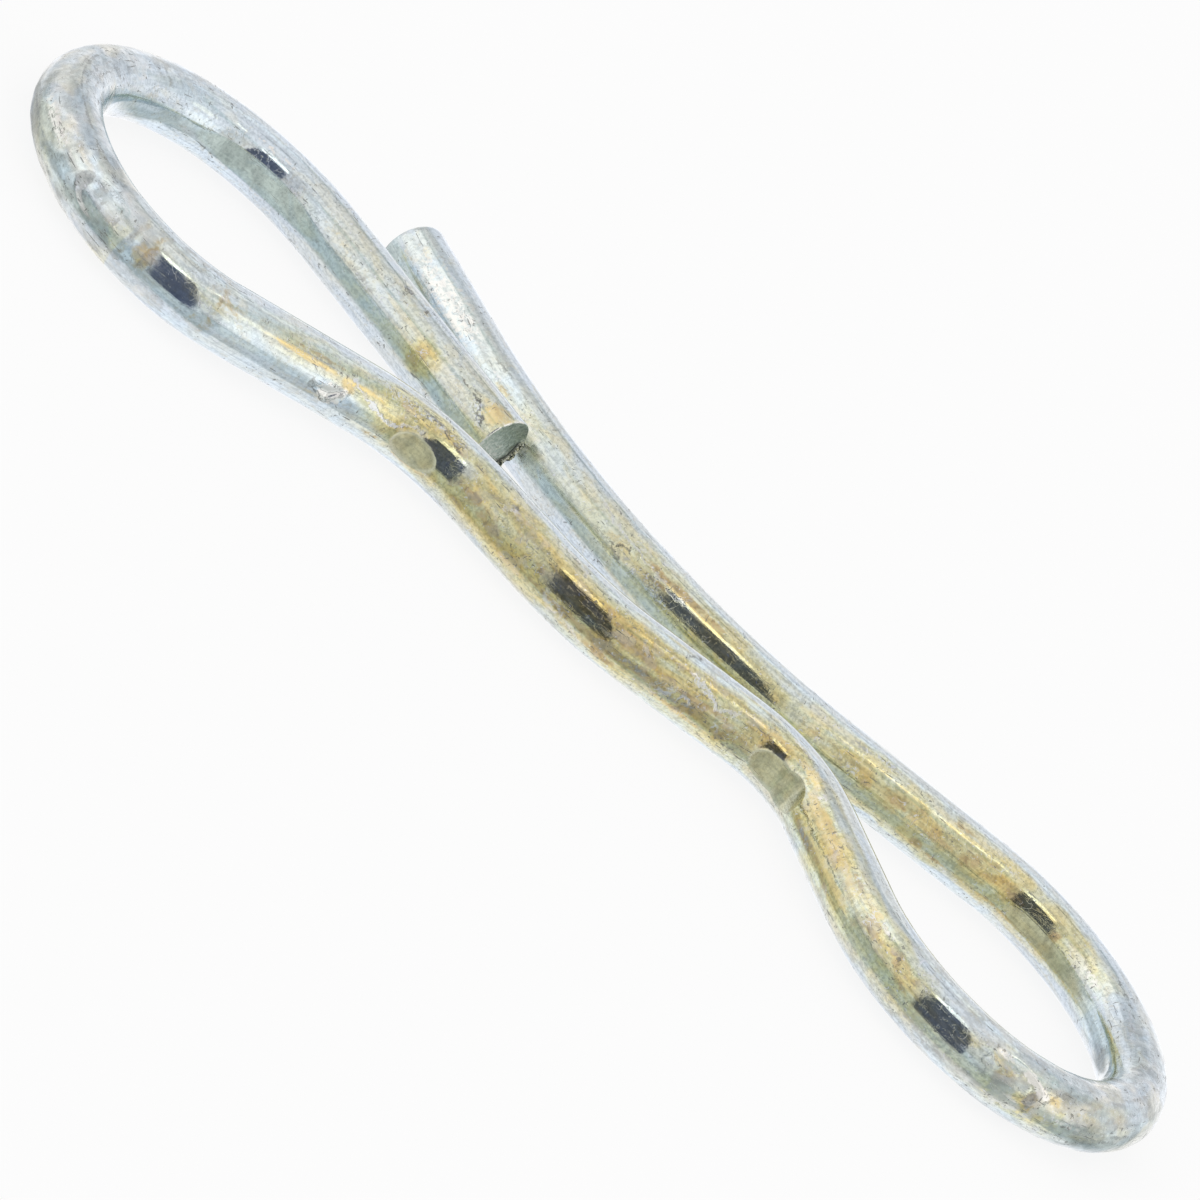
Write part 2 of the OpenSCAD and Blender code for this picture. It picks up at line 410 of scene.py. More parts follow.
# %% Wire pieces from the schedule
def walk(length, heading, curvature):
    """How far the wire's middle moves along a piece that starts with this heading."""
    if abs(curvature) < 1e-9:
        return length * np.array([math.cos(heading), math.sin(heading)])
    end = heading + curvature * length
    return np.array([math.sin(end) - math.sin(heading), math.cos(heading) - math.cos(end)]) / curvature


def schedule():
    """The wire's pieces (start length, length, start point, heading, curvature), the middles, the length."""
    pieces, middles = [], {}
    at, here, heading = 0.0, np.zeros(2), math.radians(first_heading)
    for name, run, inside, turn in bends:
        pieces.append((at, run, here, heading, 0.0))
        here = here + walk(run, heading, 0.0)
        at += run
        radius = inside + wire_r
        length = abs(math.radians(turn)) * radius
        curvature = math.copysign(1 / radius, turn)
        middles[name] = here + np.array([-math.sin(heading), math.cos(heading)]) / curvature
        pieces.append((at, length, here, heading, curvature))
        here = here + walk(length, heading, curvature)
        heading += curvature * length
        at += length
    pieces.append((at, long_end, here, heading, 0.0))
    return pieces, middles, at + long_end


wire_pieces, bend_middles, wire_length = schedule()
print(f"wire length {wire_length:.1f} mm in {len(wire_pieces)} pieces")

# %% [markdown]
# `follow` answers the question that everything else asks: where is the middle of the wire, and which way
# does it head, at this length from the short end?

# %% Follow the wire
def follow(along):
    """Middle of the wire and its heading, at each length in the array along."""
    place = np.zeros((len(along), 2))
    heading = np.zeros(len(along))
    starts = [piece[0] for piece in wire_pieces]
    for i, here in enumerate(along):
        number = max(0, int(np.searchsorted(starts, here, side="right")) - 1)
        start, _, origin, first, curvature = wire_pieces[number]
        place[i] = origin + walk(here - start, first, curvature)
        heading[i] = first + curvature * (here - start)
    return place, heading


print("long end at", follow([wire_length])[0][0].round(2), "mm from the short end")

# %% [markdown]
# ## A skin of rings
# The surface is a skin of rings, each square to the wire. A ring every third of a millimetre keeps the
# reflections smooth. Near the ends and the tool marks the rings stand closer, where small forms need them.
# A subdivision surface would put the same number of points everywhere.
#
# A point's place is told by `S`, its length from the short end in mm, and `TURN`, its angle round the wire:
# 0 on the left side of the way we walk, 90 on top, 180 on the right.

# %% Places of the rings
around = 112
coarse_step, fine_step = 0.30, 0.08
# from and to, in mm along the wire: the ends, the dent, the knock, both necks' marks and the bow
spans_of_detail = [(0, 1.2), (38.6, 43.4), (51.4, 54.6), (56.6, 60.6), (78.2, 84.4), (98.0, 101.8),
                   (wire_length - 0.7, wire_length)]


def ring_places():
    """Lengths along the wire at which a ring stands."""
    coarse = np.arange(0, wire_length, coarse_step)
    for a, b in spans_of_detail:
        coarse = coarse[(coarse < a - fine_step) | (coarse > b + fine_step)]
    fine = [np.arange(a, b, fine_step) for a, b in spans_of_detail]
    return np.unique(np.round(np.concatenate([coarse, *fine, [0, wire_length]]), 4))


side_rings = ring_places()
turns = np.arange(around) * 360 / around
print(f"{len(side_rings)} rings of {around} points")

# %% [markdown]
# ## The two ends
# The short end was sheared: its face leans a little, has a fine bright lip on one side and a crumbled burr
# on the other. The long end is cut square and tumbled round. Both faces are rings too, that shrink to a
# point, so the whole pin stays one grid of points and every later step can treat the ends like the rest.

# %% Rings of the two end faces
# radii of the rounds at the sheared and the tumbled edge
lip, tumbled = 0.05, 0.32
# the rings stand closer near the edge, where the burr is; the innermost one is nearly a point
edge_width, smallest = 0.50, 0.04
lip_angles = np.radians(np.linspace(0, 90, 4)[1:-1])
tumble_angles = np.radians(np.linspace(0, 90, 9)[1:])

short_radii = np.append(np.linspace(smallest, wire_r - edge_width, 8)[:-1],
                        np.linspace(wire_r - edge_width, wire_r - lip, 9))
short_face = [(radius, 0.0) for radius in short_radii]
short_face += [(wire_r - lip + lip * math.sin(a), lip * (1 - math.cos(a))) for a in lip_angles]
long_face = [(wire_r - tumbled + tumbled * math.cos(a), tumbled * math.sin(a)) for a in tumble_angles]
long_face += [(radius, tumbled) for radius in np.linspace(wire_r - tumbled, smallest, 10)[1:]]

side = side_rings[(side_rings >= lip) & (side_rings <= wire_length - tumbled)]
rings = np.concatenate([[s for _, s in short_face], side,
                        [wire_length - tumbled + s for _, s in long_face]])
ring_radius = np.concatenate([[r for r, _ in short_face], np.full(len(side), wire_r),
                              [r for r, _ in long_face]])
last_short, first_long = len(short_face), len(rings) - len(long_face)

S, TURN = np.meshgrid(rings, turns, indexing="ij")
RADIUS = np.repeat(ring_radius[:, None], around, 1)
print(f"{len(rings)} rings with the end faces")

# %% [markdown]
# ## Places on the wire
# From here on we shape and paint by place: an oval here, the side that faces that way, a patch of ripples.
# These helpers turn such words into arrays with one number for each point of the skin. Painting by hand in
# Sculpt or Vertex Paint mode would do it too, but code can be read, changed and run again.

# %% Helpers for places
def off_turn(place):
    """Degrees round the wire from this turn, from -180 to 180."""
    return (TURN - place + 180) % 360 - 180


def soft(value, start, end):
    """A soft step from 0 to 1, as value goes from start to end."""
    x = np.clip((value - start) / (end - start), 0, 1)
    return x * x * (3 - 2 * x)


def oval(at, turn, half_long, half_round, slant=0.0):
    """Distance from an oval's middle: 1 on its edge. Slant is in degrees of turn per mm along."""
    long_way = (S - at) / half_long
    round_way = (off_turn(turn) - slant * (S - at)) / half_round
    return np.hypot(long_way, round_way)


def mound(at, turn, half_long, half_round, slant=0.0, top=0.3, foot=1.1):
    """1 in the middle of an oval, falling to 0 at its foot."""
    return 1 - soft(oval(at, turn, half_long, half_round, slant), top, foot)


def spot(at, turn, half_long, half_round, strength=1.0, slant=0.0, edge=0.6):
    """A stain: an oval with a soft edge, and its strength in the middle."""
    return strength * mound(at, turn, half_long, half_round, slant, 1 - edge, 1 + edge * 0.6)


def facing(turn, full, none):
    """1 on the side of the wire that faces this turn, up to full degrees away, and 0 from none on."""
    return 1 - soft(np.abs(off_turn(turn)), full, none)


def stretch_of_wire(start, end, ease):
    """1 between two lengths of the wire, with soft ends."""
    return soft(S, start - ease, start + ease) * (1 - soft(S, end - ease, end + ease))


def ridge(distance, width):
    """A narrow rounded ridge where the distance is zero."""
    return np.exp(-(distance / width) ** 2)


def along_wire(knots):
    """Numbers at lengths of the wire, joined by straight lines."""
    return np.interp(S, [knot[0] for knot in knots], [knot[1] for knot in knots])


# %% Ripples
def ripple(seed, wave_s, wave_round, count=40):
    """A smooth random field of about -1 to 1, with waves this long along and round the wire, in mm."""
    dice = np.random.default_rng(seed)
    field = np.zeros(S.shape)
    a = RADIUS * np.cos(np.radians(TURN))
    b = RADIUS * np.sin(np.radians(TURN))
    for _ in range(count):
        push = dice.normal(size=3)
        push /= np.linalg.norm(push)
        stretch = 2 * math.pi * dice.uniform(0.6, 1.4)
        field += np.cos(stretch * (push[0] * S / wave_s + (push[1] * a + push[2] * b) / wave_round)
                        + dice.uniform(0, 2 * math.pi))
    return field / math.sqrt(count / 2) / 1.6


print(f"each field has {S.size} numbers")

# %% [markdown]
# ## Small forms
# The wire isn't a perfect round any more. Bending thins it a little. Where the loops rubbed on their
# neighbours in the plating barrel they are scuffed and lumpy. `relief` collects all such forms as a height
# in mm on the round wire. They are real points of the mesh, because the metal shows them at a glance
# along its edge. Anything finer is left to bump.

# %% Thinning in the bends
# share of the radius lost in a bend of 1 mm radius, and the mm over which a bend begins
thinning = 0.05
ease = 0.6
bent_thin = np.zeros(S.shape)
for start, length, _, _, curvature in wire_pieces:
    bent_thin += stretch_of_wire(start, start + length, ease) * thinning * abs(curvature)
print(f"the wire is up to {bent_thin.max() * wire_r:.3f} mm thinner in its bends")

# %% Scuffs and ripples
scuff_level = along_wire([
    (0, 0), (20, 0), (24, 0.55), (28, 0.9), (38, 0.8), (43, 0.3), (48, 0.12), (96, 0.15),
    (100, 0.5), (104, 0.9), (112, 0.8), (116, 0.25), (119, 0.0), (wire_length, 0.0)])
outer_parts = (S < 30) | (S > 108)
dullness = scuff_level * (1 - 0.85 * soft(np.abs(off_turn(0)), 68, 44) * outer_parts)

relief = 0.008 * ripple(1, 9, 3.5) * (1 - 0.5 * soft(S, 145, 155))
relief += dullness * (0.014 * ripple(2, 2.2, 1.3, 60) + 0.0040 * ripple(3, 0.9, 0.7, 60))
print(f"scuffs on {100 * (dullness > 0.5).mean():.0f}% of the points")

# %% [markdown]
# ### Dents and knocks
# The first loop has an oval dent with a steep wall, a floor that climbs slowly back, and two creases past
# it. Before the first neck something with a corner hit the wire and left three flat slopes. The second loop
# has a bow-shaped press mark, and handling left a few small dents and swellings. Sculpt mode could
# press them in, but a formula keeps each depth in mm, and one number moves a mark along the wire.

# %% Dent on the first loop
dent_at, dent_turn, dent_deep = 39.0, 160, 0.13
# mm past the dent's wall, which bows a little round the wire
dent_wall = S - dent_at - 0.0009 * off_turn(dent_turn) ** 2
dent_side = facing(dent_turn, 20, 36)
relief -= dent_deep * soft(dent_wall, 0.0, 0.45) * (1 - soft(dent_wall, 0.6, 2.6)) * dent_side
relief += 0.020 * ridge(dent_wall, 0.18) * dent_side
for crease_at, crease_deep in ((41.3, 0.014), (42.3, 0.016)):
    crease = S - crease_at - 0.004 * off_turn(165)
    relief -= crease_deep * ridge(crease, 0.15) * facing(dent_turn, 22, 46)
print(f"dent of {dent_deep} mm at {dent_at} mm")

# %% Three-sided knock before the first neck
knock_at, knock_turn, knock_slope = 52.9, 173, 0.34
# its three corners, in mm along and round the wire
knock_corners = [(-0.95, -0.05), (0.80, -0.55), (0.10, 0.52)]
knock_x = S - knock_at
knock_y = np.radians(off_turn(knock_turn)) * wire_r
knock_depth = np.full(S.shape, 1.0)
for (x0, y0), (x1, y1) in zip(knock_corners, knock_corners[1:] + knock_corners[:1]):
    edge = math.hypot(x1 - x0, y1 - y0)
    from_edge = ((x1 - x0) * (knock_y - y0) - (y1 - y0) * (knock_x - x0)) / edge
    knock_depth = np.minimum(knock_depth, from_edge)
relief -= knock_slope * np.clip(knock_depth, 0, None)
# the metal it pushed aside: a rim, and a swelling on either side
relief += 0.012 * ridge(knock_depth, 0.10)
relief += 0.025 * mound(54.2, 162, 0.6, 18, 6, top=0.2, foot=1.2)
relief += 0.024 * mound(50.6, 141, 2.4, 7, top=0.2)
print(f"knock up to {knock_slope * knock_depth.max():.2f} mm deep")

# %% Ring and bow after the second neck
ring_mark = oval(92.8, 160, 1.5, 30) - 1.0
relief += 0.012 * ridge(ring_mark, 0.12)
bow_at, bow_turn, bow_deep = 101.1, 157, 0.10
# mm past the bow's sharp edge
bow = S - bow_at + 0.0009 * off_turn(bow_turn) ** 2
bow_side = facing(155, 18, 36)
relief -= bow_deep * soft(bow, -2.6, -0.65) * (1 - soft(bow, -0.60, -0.10)) * bow_side
relief += 0.030 * ridge(bow - 0.05, 0.16) * bow_side
relief += 0.035 * mound(100.3, 137, 0.7, 10, 8, top=0.1)
print(f"bow of {bow_deep} mm at {bow_at} mm")

# %% Swellings, small dents and scratches
# the wire swelled a little where the second neck begins, and is thinner where the second loop ends
relief += 0.07 * soft(S, 78.2, 79.8) * (1 - soft(S, 82.0, 91.0)) * facing(145, 26, 50)
relief -= 0.05 * soft(S, 123.2, 124.9) * (1 - soft(S, 127.0, 137.0)) * facing(18, 34, 60)
# lens-shaped dent and a little bump on the long leg
relief -= 0.030 * mound(148.0, 26, 0.8, 22, 8)
relief += 0.030 * mound(157.8, 38, 0.7, 12, top=0.2)
# jagged scratch near the sheared end
relief -= 0.012 * mound(1.9, 40, 0.25, 16, 18, foot=1.2)
print(f"relief from {relief.min():.3f} to {relief.max():.3f} mm")

# %% Put the relief on the rings
# high places wore down to this share of their height
raised_share = 0.6
on_side = np.ones(len(rings))
on_side[:last_short] = 0
on_side[first_long:] = 0
low_parts, high_parts = np.minimum(relief, 0.0), np.maximum(relief, 0.0)
RADIUS = RADIUS * (1 - bent_thin) + (low_parts + raised_share * high_parts) * on_side[:, None]
print(f"radius up to {RADIUS.max():.3f} mm")

# %% [markdown]
# ## Lay the rings along the wire
# Now each ring goes to its place on the bent wire, square to the way the wire heads there. The schedule
# starts at an arbitrary point, so we first measure how far the bent wire reaches and move it to the middle
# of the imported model's box. A Curve modifier could bend a straight tube in the same way, but its curve would
# need the same arcs first, and we would lose the exact place of each point.

# %% Where the bent wire lies
fine_place, fine_heading = follow(np.linspace(0, wire_length, 2001))
fine_ahead = np.c_[np.cos(fine_heading), np.sin(fine_heading)]
spread = wire_r * np.sqrt(1 - fine_ahead ** 2)
reach_low, reach_high = (fine_place - spread).min(0), (fine_place + spread).max(0)
shift = np.array([middle.x, middle.y]) / MM - (reach_low + reach_high) / 2
print(f"path moved by {shift.round(3)} mm")

# %% Skin of the wire
place, heading = follow(rings)
left = np.c_[-np.sin(heading), np.cos(heading), np.zeros(len(heading))]
forward = np.c_[np.cos(heading), np.sin(heading), np.zeros(len(heading))]
up = np.array([0, 0, 1.0])
centre = np.c_[place + shift, np.full(len(rings), wire_r)]
outward = (left[:, None, :] * np.cos(np.radians(TURN))[..., None]
           + up[None, None, :] * np.sin(np.radians(TURN))[..., None])
skin = centre[:, None, :] + RADIUS[..., None] * outward
print(f"skin of {skin.shape[0]} rings, {skin.shape[1]} points each")

# %% [markdown]
# ### The sheared face
# A shear presses the wire before it cuts. The face leans, the edge where the blade entered rolls over into a
# smooth bright lip, and the metal tears at the far edge and leaves a crumbled burr. All of it is a shift of
# the points that are there already, forward or inward, so the end stays one closed skin.

# %% Lean, burr and lip
shear_lean = 6.0
# the side of the wire where each lies, in degrees of turn, and its sizes in mm
burr_turn, burr_width, burr_high, crumb_deep = 196, 0.42, 0.20, 0.07
lip_turn, lip_roll = 40, 0.05

lean = math.tan(math.radians(shear_lean)) * RADIUS * np.cos(np.radians(TURN)) * (1 - soft(S, 0.0, 2.0))
burr_side = facing(burr_turn, 28, 48)
crumbs = np.random.default_rng(7).random(S.shape)
lumps = np.clip(0.55 + 0.8 * ripple(11, 0.32, 0.30, 60), 0, 1)
burr = burr_side * soft(RADIUS, wire_r - burr_width, wire_r - 0.22) * (1 - soft(S, 0.02, 0.28))
burr_height = burr * (0.35 + 0.45 * lumps + 0.35 * crumbs)
face_waves = 0.010 * ripple(12, 0.8, 0.5) * (1 - soft(S, 0.0, 0.1))
lip_side = facing(lip_turn, 50, 75)
rollover = lip_roll * lip_side * soft(RADIUS, wire_r - 0.5, wire_r) * (S < 0.2)
skin += forward[:, None, :] * (lean - burr_high * burr_height + face_waves + rollover)[..., None]
skin -= outward * (crumb_deep * burr * crumbs)[..., None]
print(f"burr up to {burr_high * burr_height.max():.2f} mm high")

# %% [markdown]
# ## Marks of the bending tools
# Each bend was formed round a hard pin or mandrel that stood on the plane of the wire. Where it pressed, the
# round wall took its shape: an oval facet in each neck, and a long flat inside each loop. A boolean
# would cut them, but it would also break up the rings. Pushing the points of the skin
# out of the tool's circle gives the same form and keeps the rings.

# %% Press the tools in
# bend, place round it in degrees from +X, tool radius, depth
tool_marks = [
    ("first loop, back part", 95, 6.8, 0.14),
    ("first neck", 102, 2.5, 0.20),
    ("second neck", 78, 1.8, 0.205),
    ("second neck", 57, 1.3, 0.26),
    ("second loop", 77, 6.5, 0.08),
]
inside_radius = {name: inside for name, _, inside, _ in bends}
# no tool reached the last 5 mm of either end, and we look at the points this near to a tool
free_ends = 5
near_by = 1.2
pressed = np.zeros(S.shape)
touched = np.zeros(S.shape, bool)
near_neck = np.zeros(S.shape, bool)
for bend, at_angle, tool_r, depth in tool_marks:
    towards = np.array([math.cos(math.radians(at_angle)), math.sin(math.radians(at_angle))])
    tool = bend_middles[bend] + shift + (inside_radius[bend] + depth - tool_r) * towards
    away = skin[..., :2] - tool
    distance = np.linalg.norm(away, axis=-1)
    near = (S > free_ends) & (S < wire_length - free_ends) & (distance < tool_r + near_by)
    inside = near & (distance < tool_r)
    push = np.clip(tool_r - distance, 0, None) * inside
    skin[..., :2] += away / np.maximum(distance, 1e-6)[..., None] * push[..., None]
    pressed = np.maximum(pressed, soft(push, 0.0, 0.02))
    if "neck" in bend:
        touched |= inside
        near_neck |= near
    print(f"mark in the {bend}: {int(inside.sum())} points, up to {push.max():.2f} mm deep")

# %% Rim round the marks in the necks
# the metal flowed up a little along the outline of each mark; all sizes in mm
rim_height, rim_width = 0.006, 0.11
# place and width of the band just outside each mark's outline that the material paints as a bright straw
# highlight
bright_rim_at, bright_rim_width = 0.03, 0.06
outline = touched & ~(np.roll(touched, 1, 0) & np.roll(touched, -1, 0)
                      & np.roll(touched, 1, 1) & np.roll(touched, -1, 1))
flat = np.stack([S, np.radians(TURN) * wire_r], -1)
gap = np.full(S.shape, 9.0)
gap[near_neck] = np.min(np.linalg.norm(flat[near_neck][:, None, :] - flat[outline][None, :, :], axis=-1), 1)
skin += outward * (rim_height * ridge(gap, rim_width) * ~touched)[..., None]
rim_highlight = ridge(gap - bright_rim_at, bright_rim_width)

# the resting side stays on the floor, and the top inside the wire's own height
skin[..., 2] = np.clip(skin[..., 2], 0, wire_d)
print(f"outline of {int(outline.sum())} points")

# %% [markdown]
# ## What the surface remembers
# The film of chromate is thick in one place and worn in another, heat and acid stained it brown, and the
# loops were scuffed. These are broad facts about places on this one wire, so we paint them on
# the mesh as named fields of numbers from 0 to 1. The material turns them into ragged edges and grain.
#
# The film comes first. It is a band along the front of the wire. The level says how thick it is at each
# length, and the two edges say how far round the wire it reaches.

# %% Level and edges of the film
# mm along the wire, and the level there
film_level = along_wire([
    (0, 0.36), (2, 0.25), (9, 0.22), (12, 0.15), (15, 0.08), (22, 0.03), (36, 0.05), (44, 0.16), (49, 0.20),
    (50.2, 0.38), (55, 0.42), (57, 0.52), (67, 0.54), (71, 0.65), (78, 0.66), (80, 0.58), (84, 0.54),
    (90, 0.50), (94, 0.52), (95.5, 0.36), (98, 0.34), (100, 0.44), (104, 0.40), (107, 0.12), (116, 0.05),
    (118, 0.34), (120, 0.45), (126, 0.55), (134, 0.54), (137, 0.48), (145, 0.46), (148.5, 0.28),
    (155, 0.22), (159, 0.10), (wire_length, 0.08)])
# mm along the wire, and the film's edge in degrees from the side that faces the front
film_low = along_wire([
    (0, -46), (12, -44), (22, -40), (48, -48), (58, -50), (78, -50), (80, -48), (84, -43), (90, -40),
    (94, -36), (104, -36), (115, -44), (119, -46), (121, -56), (129, -56), (145, -50), (149, -42),
    (wire_length, -44)])
film_high = along_wire([
    (0, 58), (22, 52), (48, -2), (53, -2), (55, 30), (57, 50), (61, 56), (66, 60), (78, 60), (82, 56),
    (92, 54), (96, 48), (102, 54), (106, 44), (115, 46), (wire_length, 52)])
print(f"film level from {film_level.min():.2f} to {film_level.max():.2f}")

# %% The band of film
# the front bar lies between these lengths; it faces the front with one turn, and the rest with another
bar_start, bar_end = 42, 108
bar_faces, back_faces = 150.0, 24.0
front_bar = (S > bar_start) & (S < bar_end)
facing_front = np.where(front_bar, bar_faces, back_faces)
upper_fade = np.where(front_bar, 34.0, 9.0)
from_facing = off_turn(facing_front)
wandering = from_facing + 5 * ripple(20, 2.2, 1.2)
band = soft(wandering, film_low - 5, film_low + 7) \
    * (1 - soft(wandering, film_high - 7, film_high + upper_fade))
core = soft(from_facing, film_low + 4, film_low + 34) \
    * (1 - soft(from_facing, film_high - 22, film_high + 4))
band *= 0.66 + 0.34 * core
unseen_side = 1 - soft(np.abs(off_turn(facing_front + 180)), 60, 95)
thin_film = 0.26 * unseen_side * np.clip(0.5 + ripple(21, 6, 3), 0, 1)
film = film_level * (0.08 + 0.92 * band) + thin_film
print(f"band covers {100 * (band > 0.5).mean():.0f}% of the points")

# %% Patches of more or less film
# at, turn, half long, half round, strength (negative for less film), and slant in degrees per mm if any
film_patches = [
    # short leg
    (4.9, 16, 0.95, 36, 0.27),
    # first loop
    (45.8, 146, 1.2, 24, 0.16),
    # first neck
    (53.0, 172, 2.2, 14, -0.25), (61.3, 142, 0.8, 14, -0.30), (64.0, 116, 3.5, 12, -0.04),
    (66.0, 184, 8.0, 14, 0.10), (66.0, 150, 2.6, 12, -0.04),
    # seat for the shaft
    (68.2, 118, 2.4, 14, -0.16), (74.0, 109, 5.0, 9, -0.32), (74.4, 148, 4.0, 15, 0.08),
    (75.0, 184, 4.0, 14, 0.10),
    # second neck
    (83.4, 182, 0.9, 26, -0.22), (86.0, 118, 3.0, 8, -0.20), (87.0, 184, 5.0, 14, 0.14),
    # second loop
    (96.6, 128, 1.6, 16, -0.22), (97.2, 170, 1.8, 18, -0.15), (101.0, 194, 2.5, 18, 0.14),
    (105.2, 126, 1.2, 14, 0.25), (118.6, 20, 1.6, 16, -0.20, 8), (123.0, -8, 5.0, 14, 0.16),
    (124.0, 48, 3.0, 10, -0.14),
    # long leg
    (129.0, 28, 5.0, 16, 0.14), (134.0, 58, 8.0, 9, -0.16), (138.0, -3, 7.0, 12, -0.24),
    (152.5, 4, 4.0, 8, -0.10),
]
for patch in film_patches:
    film += spot(*patch)
film = np.clip(film, 0, 1)
fields = {"film": film}
print(f"{len(film_patches)} patches, film from {film.min():.2f} to {film.max():.2f}")

# %% [markdown]
# ## Stains and wear
# Each list below is one kind of mark, from the short end to the long one. A row is an oval: at, turn,
# half long, half round, strength, and slant where the oval lies askew. Random spots would be quicker, but a
# real pin's stains lie where it was gripped, bent and rubbed, so every one has its own place.

# %% Stains on top of each other
def stained(spots):
    """One field from many ovals: where two overlap, the stain is stronger, but never above 1."""
    field = np.zeros(S.shape)
    for row in spots:
        field = 1 - (1 - field) * (1 - spot(*row))
    print(f"{len(spots)} places on {100 * (field > 0.1).mean():.1f}% of the points")
    return field


# %% [markdown]
# Brown stains are where the film was scorched or attacked by acid. Most lie on the front bar, round the
# seat for the shaft. On the first loop they are narrow and cross the wire.

# %% Brown stains
brown_spots = [
    # short leg
    (0.8, 62, 0.5, 10, 0.35), (3.0, 236, 2.0, 30, 0.4), (4.9, 22, 0.5, 14, 0.30),
    (5.1, -4, 0.60, 12, 0.46), (6.6, 74, 0.25, 7, 0.45),
    # first loop
    (20.0, 250, 3.0, 40, 0.5, 4), (37.6, 134, 0.7, 8, 0.40), (41.3, 164, 0.3, 10, 0.35),
    (42.2, 150, 0.15, 46, 0.32), (43.0, 146, 0.18, 38, 0.50), (43.1, 158, 0.25, 22, 0.40),
    (44.9, 150, 0.12, 50, 0.34), (45.6, 188, 0.20, 14, 0.36), (46.2, 150, 0.15, 46, 0.40),
    (46.6, 138, 0.6, 14, 0.35),
    # first neck
    (51.6, 129, 1.6, 4, 0.45), (56.2, 202, 0.6, 5, 0.5), (56.9, 128, 0.8, 6, 0.35),
    (58.6, 206, 1.3, 5, 0.45), (60.0, 127, 0.8, 3.5, 0.75, 7), (62.0, 192, 0.7, 5, 0.40),
    (62.4, 165, 0.8, 7, 0.62), (63.0, 172, 2.2, 14, 0.34), (63.7, 178, 1.0, 8, 0.55, 4),
    (64.6, 130, 0.9, 3, 0.40), (65.0, 150, 0.5, 5, 0.35),
    # seat for the shaft
    (66.7, 166, 0.4, 8, 0.50), (67.0, 188, 1.0, 5, 0.45), (68.4, 190, 1.4, 6, 0.52),
    (68.9, 184, 1.1, 7, 0.55), (69.6, 186, 2.4, 9, 0.42), (70.3, 190, 0.9, 7, 0.75),
    (70.7, 203, 1.1, 8, 0.75), (71.1, 165, 0.4, 9, 0.50), (72.3, 179, 0.8, 8, 0.62),
    (73.0, 160, 1.2, 6, 0.40), (73.2, 180, 2.2, 8, 0.44), (73.8, 186, 0.8, 6, 0.62),
    (74.3, 196, 0.9, 5, 0.50), (75.0, 166, 1.0, 5, 0.75), (75.2, 184, 0.7, 11, 0.85, -4),
    (76.3, 160, 0.9, 6, 0.60), (76.4, 172, 2.2, 14, 0.40), (77.0, 184, 0.5, 7, 0.60),
    (77.6, 174, 0.5, 6, 0.45),
    # second neck
    (79.0, 140, 0.5, 6, 0.50), (79.6, 146, 0.4, 5, 0.50), (80.2, 133, 0.5, 4, 0.45),
    (82.8, 140, 0.6, 6, 0.35), (85.6, 187, 0.55, 6, 0.95), (85.9, 141, 0.5, 6, 0.42),
    (86.6, 186, 1.3, 8, 0.60), (87.7, 151, 0.7, 7, 0.50), (88.6, 192, 0.8, 6, 0.38),
    (89.3, 136, 0.7, 8, 0.40),
    # second loop
    (90.0, 330, 5.0, 34, 0.6, 2), (91.7, 152, 0.7, 14, 0.45), (93.6, 150, 0.9, 16, 0.52),
    (93.9, 172, 0.5, 9, 0.40), (99.2, 158, 0.45, 22, 0.62, -3), (100.7, 166, 0.40, 20, 0.85, -5),
    (102.0, 132, 0.8, 8, 0.75), (102.6, 152, 0.6, 10, 0.35), (103.4, 126, 0.7, 8, 0.42),
    (105.0, 138, 0.7, 9, 0.35), (119.8, -11, 1.5, 4, 0.45), (121.3, 22, 0.35, 11, 0.80),
    (124.0, -13, 2.5, 3, 0.45), (124.3, 22, 0.9, 9, 0.45),
    # long leg
    (126.2, 42, 0.5, 7, 0.45), (127.3, 22, 0.7, 16, 0.66, -6), (128.4, -16, 0.7, 4, 0.65),
    (128.6, 60, 0.9, 5, 0.35), (129.4, 16, 1.1, 8, 0.42), (129.7, -12, 0.45, 9, 0.75),
    (131.5, 4, 1.2, 5, 0.40), (132.0, 22, 1.4, 9, 0.38), (133.9, 14, 0.9, 6, 0.35),
    (136.8, 30, 1.2, 6, 0.28), (140.0, 210, 6.0, 30, 0.5), (142.8, 53, 0.9, 5, 0.45),
    (144.4, 50, 1.3, 8, 0.70), (146.0, 30, 0.45, 5, 0.55), (146.2, 46, 0.8, 6, 0.65),
    (157.0, 33, 0.8, 6, 0.35),
]
fields["brown"] = stained(brown_spots)
